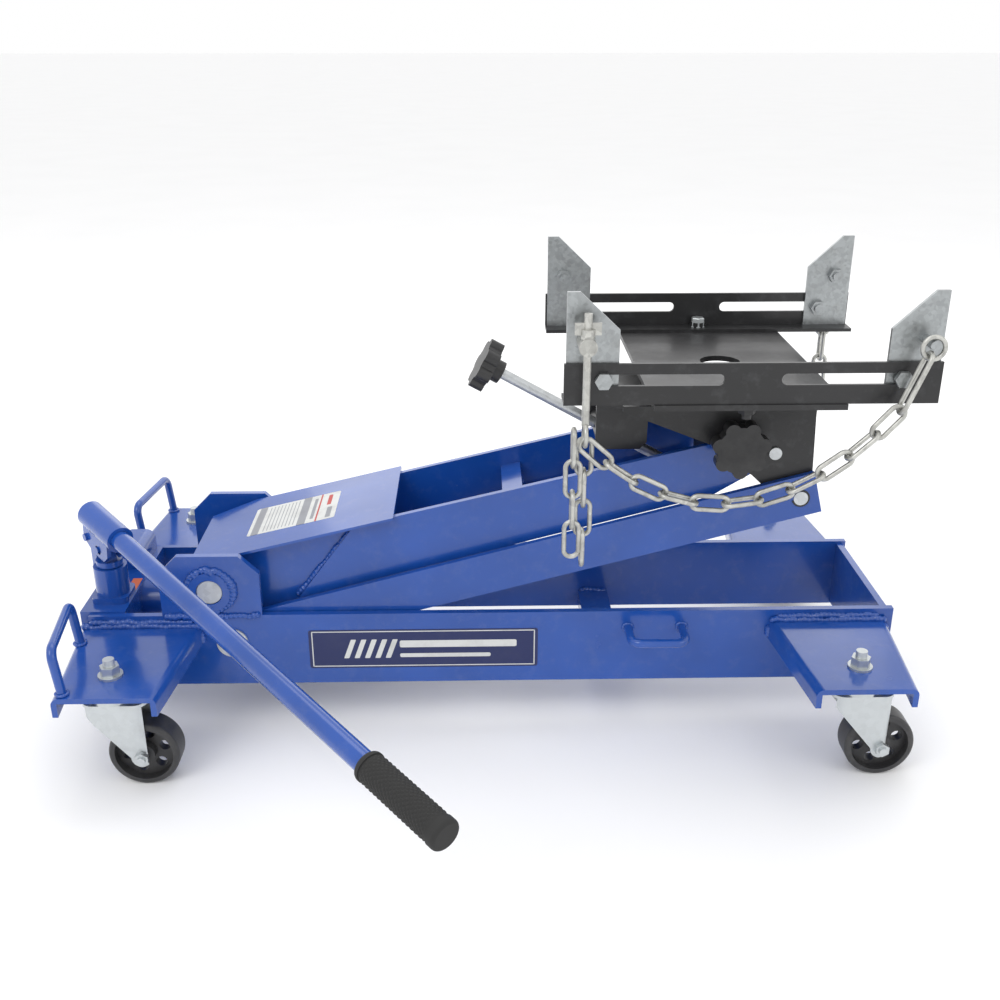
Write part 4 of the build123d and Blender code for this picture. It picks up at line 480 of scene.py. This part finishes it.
# ---- operators ----------------------------------------------------------------------------------
class JACK_OT_finishes(bpy.types.Operator):
    """Build the materials and give each carried-over node its own"""

    bl_idname = "jack.finishes"
    bl_label = "Finishes"

    def execute(self, context):
        f = context.scene.jack_finish
        paint = tuple(f.paint)
        material("blue_enamel", "enamel", {"Paint": paint, "Gloss": 0.2}, coat=0.4)
        material("blue_weld", "enamel", {"Paint": paint, "Gloss": 0.24, "Peel": 2.0, "Chips": 1.0}, coat=0.5, bump=0.3)
        material(
            "black_enamel", "enamel", {"Paint": tuple(f.black), "Gloss": 0.40, "Drift": 0.2, "Chips": 0.3}, coat=0.08
        )
        zinc = tuple(f.zinc)
        dull = tuple(0.66 * c for c in zinc)
        material(
            "zinc_spangle",
            "plating",
            {"Metal": dull, "Spangle": 0.45, "Spangle Scale": 260.0, "Stain": 0.3, "Gloss": 0.34},
            metallic=0.85,
            bump=0.05,
        )
        material("zinc_bright", "plating", {"Metal": zinc, "Spangle": 0.12, "Stain": 0.15}, metallic=0.8, bump=0.04)
        material(
            "bare_steel", "plating", {"Metal": tuple(f.steel), "Spangle": 0.3, "Stain": 0.3, "Gloss": 0.4}, metallic=0.8
        )
        material(
            "chain_steel",
            "plating",
            {"Metal": (0.50, 0.50, 0.47), "Spangle": 0.6, "Stain": 0.5, "Gloss": 0.38},
            metallic=0.85,
            bump=0.15,
        )
        material("wheel_plastic", "moulded", {"Base": tuple(f.wheel), "Gloss": 0.42, "Dust": 0.2}, bump=0.05)
        material("knob_plastic", "moulded", {"Base": (0.02, 0.02, 0.021), "Gloss": 0.36, "Dust": 0.12}, bump=0.04)
        material("grip_rubber", "moulded", {"Base": tuple(f.rubber), "Gloss": 0.55, "Dust": 0.15}, bump=0.08)
        material("label_white", "moulded", {"Base": (0.62, 0.63, 0.62), "Gloss": 0.42, "Dust": 0.35}, bump=0.02)
        material("label_grey", "moulded", {"Base": (0.25, 0.26, 0.29), "Gloss": 0.42, "Dust": 0.3}, bump=0.02)
        material("label_red", "moulded", {"Base": (0.45, 0.03, 0.025), "Gloss": 0.42, "Dust": 0.2}, bump=0.02)
        material("label_navy", "moulded", {"Base": (0.008, 0.016, 0.09), "Gloss": 0.3, "Dust": 0.05}, bump=0.02)
        material("label_orange", "moulded", {"Base": (0.62, 0.13, 0.045), "Gloss": 0.42, "Dust": 0.15}, bump=0.02)
        by_slot = {
            "blue_paint": "blue_enamel",
            "black_paint": "black_enamel",
            "zinc": "zinc_bright",
            "pin_steel": "bare_steel",
            "chain_zinc": "chain_steel",
            "wheel_black": "wheel_plastic",
            "knob_black": "knob_plastic",
            "grip_rubber": "grip_rubber",
        }
        for part in frame["record"]["subparts"]:
            node = NODES[part["node"]]
            name = by_slot[part["material_slot"]]
            if part["node"].startswith("bracket"):
                name = "zinc_spangle"
            dress(node, name)
        return {"FINISHED"}


class JACK_OT_welds(bpy.types.Operator):
    """Lay the weld beads of the chassis and the arm"""

    bl_idname = "jack.welds"
    bl_label = "Welds"

    def execute(self, context):
        frame_beads = []
        face = corners("side_plate_left")[1][1]
        seed = 1
        for end in ENDS:
            for side, sign in SIDES.items():
                low, high = corners(f"outrigger_{end}_{side}")
                for lift, inset in ((0.0012, 0.001), (0.0052, 0.010)):
                    y = sign * (face + (0.0028 if lift < 0.002 else 0.0005))
                    a = (low[0] + inset, y, high[2] + lift)
                    b = (high[0] - inset, y, high[2] + lift)
                    frame_beads.append(bead(line(a, b), seed=seed))
                    seed += 1
                for x in (low[0] + 0.001, high[0] - 0.001):
                    a = (x, sign * (face + 0.002), high[2] - 0.006)
                    b = (x, sign * (face + 0.002), low[2] + 0.001)
                    frame_beads.append(bead(line(a, b), seed=seed, up=(0, 1, 0)))
                    seed += 1
        for side, sign in SIDES.items():
            low, high = corners(f"pivot_ear_{side}")
            y = sign * (face + 0.0008)
            frame_beads.append(bead(line((low[0] + 0.002, y, low[2]), (high[0] - 0.002, y, low[2])), seed=seed + 3))
            boss = centre("arm_hub")
            ring = circle((boss[0], sign * (face + 0.0004), boss[2]), 0.0262, (0, 1, 0))
            frame_beads.append(bead(ring, closed=True, seed=seed + 5, up=(0, 1, 0), radius=0.0042))
            low, high = corners("mid_crossbar")
            inner = corners("mid_crossbar")[1][1]
            a = (low[0] + 0.002, sign * (inner - 0.001), high[2])
            b = (high[0] - 0.002, sign * (inner - 0.001), high[2])
            frame_beads.append(bead(line(a, b), seed=seed + 7))
            seed += 8
        for x, y, z, axis in self.feet():
            frame_beads.append(bead(circle((x, y, z), 0.0057, axis, 60), True, seed, axis, 0.0020))
            seed += 1
        obj = put("weld_beads_chassis", *joined(frame_beads))
        dress(obj, "blue_weld")
        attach(obj, "chassis")
        arm_beads = []
        pivot = np.array(JOINTS["arm_lift"]["pos_m"])
        angle = math.atan2(
            JOINTS["carrier_level"]["pos_m"][2] - pivot[2], JOINTS["carrier_level"]["pos_m"][0] - pivot[0]
        )
        along = np.array([math.cos(angle), 0, math.sin(angle)])
        up = np.array([-math.sin(angle), 0, math.cos(angle)])
        for sign in SIDES.values():
            side = np.array([0, sign * 0.0660, 0])
            a = pivot * (1, 0, 1) + along * 0.172 + up * 0.020 + side
            b = pivot * (1, 0, 1) + along * 0.0845 - up * 0.0445 + side
            arm_beads.append(bead(line(a, b), seed=seed, up=(0, 1, 0), radius=0.003))
            ring = circle(pivot * (1, 0, 1) + np.array([0, sign * 0.0642, 0]), 0.0232, (0, 1, 0))
            arm_beads.append(bead(ring, closed=True, seed=seed + 1, up=(0, 1, 0), radius=0.003))
            seed += 2
        obj = put("weld_beads_arm", *joined(arm_beads))
        dress(obj, "blue_weld")
        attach(obj, "arm")
        return {"FINISHED"}

    def feet(self):
        """Centre and direction of each handle foot."""
        low, high = corners("carry_handles")
        top = corners("outrigger_pump_left")[1][2]
        outer = high[1] - 0.005
        for sign in SIDES.values():
            yield high[0] - 0.005, sign * outer, top + 0.001, (0, 0, 1)
            yield high[0] - 0.019, sign * (outer - 0.104), top + 0.001, (0, 0, 1)
        low, high = corners("grab_handles")
        face = corners("side_plate_left")[1][1]
        for sign in SIDES.values():
            for x in (low[0] + 0.005, high[0] - 0.005):
                yield x, sign * (face + 0.0005), (low[2] + high[2]) / 2, (0, 1, 0)


class JACK_OT_chain(bpy.types.Operator):
    """Give the draped chain halves their own links"""

    bl_idname = "jack.chain"
    bl_label = "Chain"

    def execute(self, context):
        """The spare strand is the tail's links turned a quarter round the hook eye and raised."""
        source = NODES["chain_tail"]
        eye = Vector(JOINTS["chain_tail"]["pos_m"])
        strand = bpy.data.objects.new("chain_tail_second", source.data.copy())
        context.scene.collection.objects.link(strand)
        turn = Matrix.Rotation(math.radians(90), 4, "Z")
        shift = Matrix.Translation(Vector((-0.0085, -0.004, 0.012)))
        strand.data.transform(Matrix.Translation(eye) @ shift @ turn @ Matrix.Translation(-eye))
        strand.data.shade_smooth()
        dress(strand, "chain_steel")
        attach(strand, "chain_tail")
        for node, bracket in (
            ("chain_drape_hook_half", "bracket_pump_right"),
            ("chain_drape_ring_half", "bracket_saddle_right"),
        ):
            source = NODES[node]
            obj = bpy.data.objects.new(node + "_links", source.data.copy())
            context.scene.collection.objects.link(obj)
            obj.data.transform(source.matrix_world)
            obj.data.shade_smooth()
            obj.data.set_sharp_from_angle(angle=math.radians(50))
            dress(obj, "chain_steel")
            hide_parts(node)
            if bracket == "bracket_pump_right":
                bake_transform(obj)
            else:
                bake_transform(obj)
        return {"FINISHED"}


class JACK_OT_grip(bpy.types.Operator):
    """Build the knurled rubber handle grip"""

    bl_idname = "jack.grip"
    bl_label = "Grip"

    def execute(self, context):
        """Radius over (s, a): r0 plus a diamond relief d |sin(n a + k s)| |sin(n a - k s)|."""
        record = {m["name"]: m for m in frame["record"]["mounts"]}["handle_end"]
        end = np.array(record["pos_m"])
        axis = np.array(record["axis"]) / np.linalg.norm(record["axis"])
        radius = context.scene.jack_grip.radius
        size = context.scene.jack_grip.length
        rows, sides = 420, 144
        s = np.linspace(0, size, rows)
        a = np.linspace(0, 2 * np.pi, sides, endpoint=False)
        span = np.clip(np.minimum(s - 0.006, size - 0.012 - s) / 0.004, 0, 1)
        knurl = np.abs(np.sin(9 * a[None, :] + s[:, None] * 560)) * np.abs(np.sin(9 * a[None, :] - s[:, None] * 560))
        edge = np.clip(np.minimum(s, size - s) / 0.004, 0, 1)
        r = radius * (0.80 + 0.2 * np.sqrt(1 - (1 - edge) ** 2))
        collar = np.where((s < 0.006) | (s > size - 0.010), 0.0, 0.0013)
        r = r - collar
        r = r[:, None] + 0.0011 * knurl * span[:, None] - 0.0002
        path = end + axis * (s[:, None] - size)
        obj = put("handle_grip_knurled", *tube(path, 1.0, sides, False, (0, 0, 1), r), sharp=60)
        dress(obj, "grip_rubber")
        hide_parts("handle_grip")
        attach(obj, "lever")
        return {"FINISHED"}


class JACK_OT_casters(bpy.types.Operator):
    """Add the bearing balls of each caster"""

    bl_idname = "jack.casters"
    bl_label = "Casters"

    def execute(self, context):
        for end in ENDS:
            for side in SIDES:
                joint = JOINTS[f"swivel_{end}_{side}"]
                x, y, _ = joint["pos_m"]
                fork_top = corners(f"caster_fork_{end}_{side}")[1][2]
                balls = []
                a = np.linspace(0, np.pi, 9)
                profile = np.stack([-0.0026 * np.cos(a), np.maximum(0.0026 * np.sin(a), 1e-5)], axis=1)
                for k in range(20):
                    turn = 2 * math.pi * k / 20
                    at = (x + 0.0195 * math.cos(turn), y + 0.0195 * math.sin(turn), fork_top + 0.0013)
                    balls.append(turned(profile, at, (0, 0, 1), 12))
                obj = put(f"caster_balls_{end}_{side}", *joined(balls))
                dress(obj, "bare_steel")
                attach(obj, f"swivel_{end}_{side}")
        return {"FINISHED"}


class JACK_OT_labels(bpy.types.Operator):
    """Put plain generic labels where the jack carries them"""

    bl_idname = "jack.labels"
    bl_label = "Labels"

    def execute(self, context):
        face = corners("side_plate_right")[0][1]
        mid = np.array([-0.073, face, 0.0955])
        u, v = (1, 0, 0), (0, 0, 1)
        off = np.array([0, -0.0001, 0])
        self.plate("label_side_ground", [slab(mid + off * 0, u, v, 0.264, 0.050, 0.0003)], "label_navy", "chassis")
        bars = [
            slab(mid + off * 2 + (0, 0, 0.0225), u, v, 0.256, 0.0012, 0.0002, 0.0005),
            slab(mid + off * 2 - (0, 0, 0.0225), u, v, 0.256, 0.0012, 0.0002, 0.0005),
            slab(mid + off * 2 - (0.128, 0, 0), u, v, 0.0012, 0.046, 0.0002, 0.0005),
            slab(mid + off * 2 + (0.128, 0, 0), u, v, 0.0012, 0.046, 0.0002, 0.0005),
        ]
        for k in range(5):
            lean = (math.sin(0.35), 0, math.cos(0.35))
            bars.append(slab(mid + off * 2 + (-0.085 + 0.012 * k, 0, 0), u, lean, 0.006, 0.026, 0.0002, 0.001))
        bars.append(slab(mid + off * 2 + (0.04, 0, 0.006), u, v, 0.135, 0.009, 0.0002, 0.002))
        bars.append(slab(mid + off * 2 + (0.025, 0, -0.009), u, v, 0.105, 0.005, 0.0002, 0.002))
        self.plate("label_side_marks", bars, "label_white", "chassis")
        pivot = np.array(JOINTS["arm_lift"]["pos_m"])
        low, high = corners("arm_cover")
        slope = math.atan2(high[2] - low[2], high[0] - low[0])
        tip = JOINTS["carrier_level"]["pos_m"]
        slope = math.atan2(tip[2] - pivot[2], tip[0] - pivot[0]) - 16.0 / 664.0
        u = np.array([math.cos(slope), 0, math.sin(slope)])
        n = np.array([-math.sin(slope), 0, math.cos(slope)])
        right_end = np.array([high[0], 0, high[2]])
        top = right_end - u * (u @ (right_end - pivot) - 0.095)
        top = np.array([top[0], 0.003, top[2]])
        v = (0, 1, 0)
        self.plate("label_cover_ground", [slab(top, u, v, 0.106, 0.080, 0.0003)], "label_white", "arm")
        greys = [
            slab(top + n * 0.0002 - u * 0.044, u, v, 0.009, 0.080, 0.0002, 0.0005),
            slab(top + n * 0.0002 + u * 0.012, u, v, 0.010, 0.080, 0.0002, 0.0005),
            slab(top + n * 0.0002 + u * 0.024, u, v, 0.004, 0.060, 0.0002, 0.0005),
            slab(top + n * 0.0002 + u * 0.044 - (0, 0.020, 0), u, v, 0.006, 0.030, 0.0002, 0.001),
        ]
        for k in range(9):
            greys.append(slab(top + n * 0.0002 + u * (-0.034 + 0.0045 * k), u, v, 0.0009, 0.070, 0.0002, 0.0004))
        self.plate("label_cover_panels", greys, "label_grey", "arm")
        reds = [
            slab(top + n * 0.0002 + u * 0.030, u, v, 0.002, 0.080, 0.0002, 0.0005),
            slab(top + n * 0.0002 + u * 0.0415 + (0, 0.018, 0), u, v, 0.005, 0.030, 0.0002, 0.001),
        ]
        self.plate("label_cover_stripe", reds, "label_red", "arm")
        block = corners("pump_block")
        place = (block[1][0] - 0.0075, -0.020, corners("reservoir")[0][2])
        self.plate("label_pump", [slab(place, (1, 0, 0), (0, 1, 0), 0.011, 0.032, 0.0003, 0.0005)], "label_orange", "chassis")
        return {"FINISHED"}

    def plate(self, name, slabs, look, body):
        obj = put(name, *joined(slabs))
        dress(obj, look)
        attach(obj, body)


class JACK_OT_hardware(bpy.types.Operator):
    """Add snap rings, the rail bolts and the thread ends"""

    bl_idname = "jack.hardware"
    bl_label = "Hardware"

    def execute(self, context):
        tip = corners("carrier_pins")
        rings = []
        for sign in SIDES.values():
            low, high = tip
            x, z = high[0] - 0.008, low[2] + 0.008
            path = circle((x, sign * (high[1] - 0.0008), z), 0.0092, (0, 1, 0), 60, 0.6, 2 * math.pi - 0.8)
            rings.append(tube(path, 0.0010, 10, False, (0, 1, 0)))
        obj = put("snap_rings_link", *joined(rings))
        dress(obj, "knob_plastic")
        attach(obj, "carrier")
        for side, sign in SIDES.items():
            plate_low, plate_high = corners("saddle_plate")
            x = (plate_low[0] + plate_high[0]) / 2
            low, high = corners(f"rail_{side}")
            y = sign * (max(abs(low[1]), abs(high[1])) - 0.016)
            at = (x, y, plate_high[2] + 0.0042)
            rim = np.array([[0, 0.0092], [0.0012, 0.0092], [0.0012, 0.0084], [0.0105, 0.0084], [0.0115, 0.0072]])
            obj = put(f"rail_bolt_{side}", *turned(rim, at, (0, 0, 1), 6), sharp=20)
            dress(obj, "zinc_bright")
            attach(obj, f"rail_{side}")
        threads = []
        for end in ENDS:
            for side in SIDES:
                x, y, _ = JOINTS[f"swivel_{end}_{side}"]["pos_m"]
                top = corners("caster_kingpins")[1][2]
                s = np.arange(0, 0.0068, 0.00012)
                profile = np.stack([s, 0.0059 + 0.00025 * np.abs(((s / 0.0012) % 1) - 0.5) * 2], axis=1)
                threads.append(turned(profile, (x, y, top - 0.0072), (0, 0, 1), 32))
        obj = put("kingpin_threads", *joined(threads), sharp=20)
        dress(obj, "zinc_bright")
        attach(obj, "chassis")
        return {"FINISHED"}


class JACK_OT_stage(bpy.types.Operator):
    """Build the pale floor, the soft lights and the camera"""

    bl_idname = "jack.stage"
    bl_label = "Stage"

    def execute(self, context):
        settings = context.scene.jack_stage
        floor = self.floor(settings.reach)
        mat = bpy.data.materials.new("studio_floor")
        mat.use_nodes = True
        net = Net(mat.node_tree)
        shader = mat.node_tree.nodes["Principled BSDF"]
        where = net.node("ShaderNodeTexCoord").outputs["Object"]
        tone = net.span(net.noise(where, 3.0, 3.0), 0.3, 0.7, 0.98, 1.0)
        base = net.node("ShaderNodeHueSaturation", in_Value=tone)
        base.inputs["Color"].default_value = (*settings.floor, 1)
        mat.node_tree.links.new(base.outputs[0], shader.inputs["Base Color"])
        shader.inputs["Roughness"].default_value = 0.6
        floor.data.materials.append(mat)
        world = bpy.data.worlds.new("studio")
        context.scene.world = world
        world.use_nodes = True
        world.node_tree.nodes["Background"].inputs["Color"].default_value = (1.0, 1.0, 1.0, 1)
        world.node_tree.nodes["Background"].inputs["Strength"].default_value = 1.0
        self.light("key", (-1.7, -1.9, 2.6), (0.0, 0.0, 0.25), 1.6, 1.6, 24)
        self.light("fill", (2.4, -1.8, 1.6), (0.0, 0.0, 0.25), 1.8, 1.4, 9)
        self.light("top", (0.1, 0.9, 2.7), (0.0, 0.0, 0.2), 2.2, 1.6, 16)
        self.light("back", (0.2, 2.6, 1.2), (0.0, 0.0, 0.3), 2.6, 1.2, 8)
        data = bpy.data.cameras.new("camera")
        data.lens = settings.lens
        data.sensor_width = 36.0
        data.clip_start = 0.05
        camera = bpy.data.objects.new("camera", data)
        context.scene.collection.objects.link(camera)
        turn = Matrix.Rotation(math.radians(-1.26), 4, "Z") @ Matrix.Rotation(math.pi / 2 - settings.down, 4, "X")
        camera.matrix_world = Matrix.Translation(Vector(settings.camera)) @ turn
        context.scene.camera = camera
        context.scene.view_settings.view_transform = "Standard"
        return {"FINISHED"}

    def floor(self, reach):
        """Flat square: P(u, v) = (u, v, 0) for u and v from -reach to reach."""
        side = np.linspace(-reach, reach, 13)
        u, v = np.meshgrid(side, side, indexing="ij")
        points = np.stack([u, v, np.zeros_like(u)], axis=-1).reshape(-1, 3)
        return put("floor", points, grid_faces(13, 13, False, False))

    def light(self, name, at, to, width, height, power):
        data = bpy.data.lights.new(name, "AREA")
        data.shape = "RECTANGLE"
        data.size = width
        data.size_y = height
        data.energy = power
        lamp = bpy.data.objects.new(name, data)
        bpy.context.scene.collection.objects.link(lamp)
        lamp.location = at
        lamp.rotation_euler = (Vector(to) - Vector(at)).to_track_quat("-Z", "Y").to_euler()


class JACK_PT_panel(bpy.types.Panel):
    bl_label = "Transmission jack"
    bl_idname = "JACK_PT_panel"
    bl_space_type = "VIEW_3D"
    bl_region_type = "UI"
    bl_category = "Jack"

    def draw(self, context):
        for owner in (context.scene.jack_finish, context.scene.jack_welds, context.scene.jack_grip, context.scene.jack_stage):
            box = self.layout.box()
            for name in owner.__annotations__:
                box.prop(owner, name)
        for operator in OPERATORS:
            self.layout.operator(operator.bl_idname)


GROUPS = (JackFinish, JackWelds, JackGrip, JackStage)
OPERATORS = (
    JACK_OT_finishes,
    JACK_OT_welds,
    JACK_OT_chain,
    JACK_OT_grip,
    JACK_OT_casters,
    JACK_OT_labels,
    JACK_OT_hardware,
    JACK_OT_stage,
)


def register():
    for cls in GROUPS + OPERATORS + (JACK_PT_panel,):
        bpy.utils.register_class(cls)
    bpy.types.Scene.jack_finish = bpy.props.PointerProperty(type=JackFinish)
    bpy.types.Scene.jack_welds = bpy.props.PointerProperty(type=JackWelds)
    bpy.types.Scene.jack_grip = bpy.props.PointerProperty(type=JackGrip)
    bpy.types.Scene.jack_stage = bpy.props.PointerProperty(type=JackStage)


def unregister():
    del bpy.types.Scene.jack_stage
    del bpy.types.Scene.jack_grip
    del bpy.types.Scene.jack_welds
    del bpy.types.Scene.jack_finish
    for cls in reversed(GROUPS + OPERATORS + (JACK_PT_panel,)):
        bpy.utils.unregister_class(cls)


def main():
    register()
    bpy.ops.jack.finishes()
    bpy.ops.jack.welds()
    bpy.ops.jack.chain()
    bpy.ops.jack.grip()
    bpy.ops.jack.casters()
    bpy.ops.jack.labels()
    bpy.ops.jack.hardware()
    bpy.ops.jack.stage()


if __name__ == "__main__":
    main()
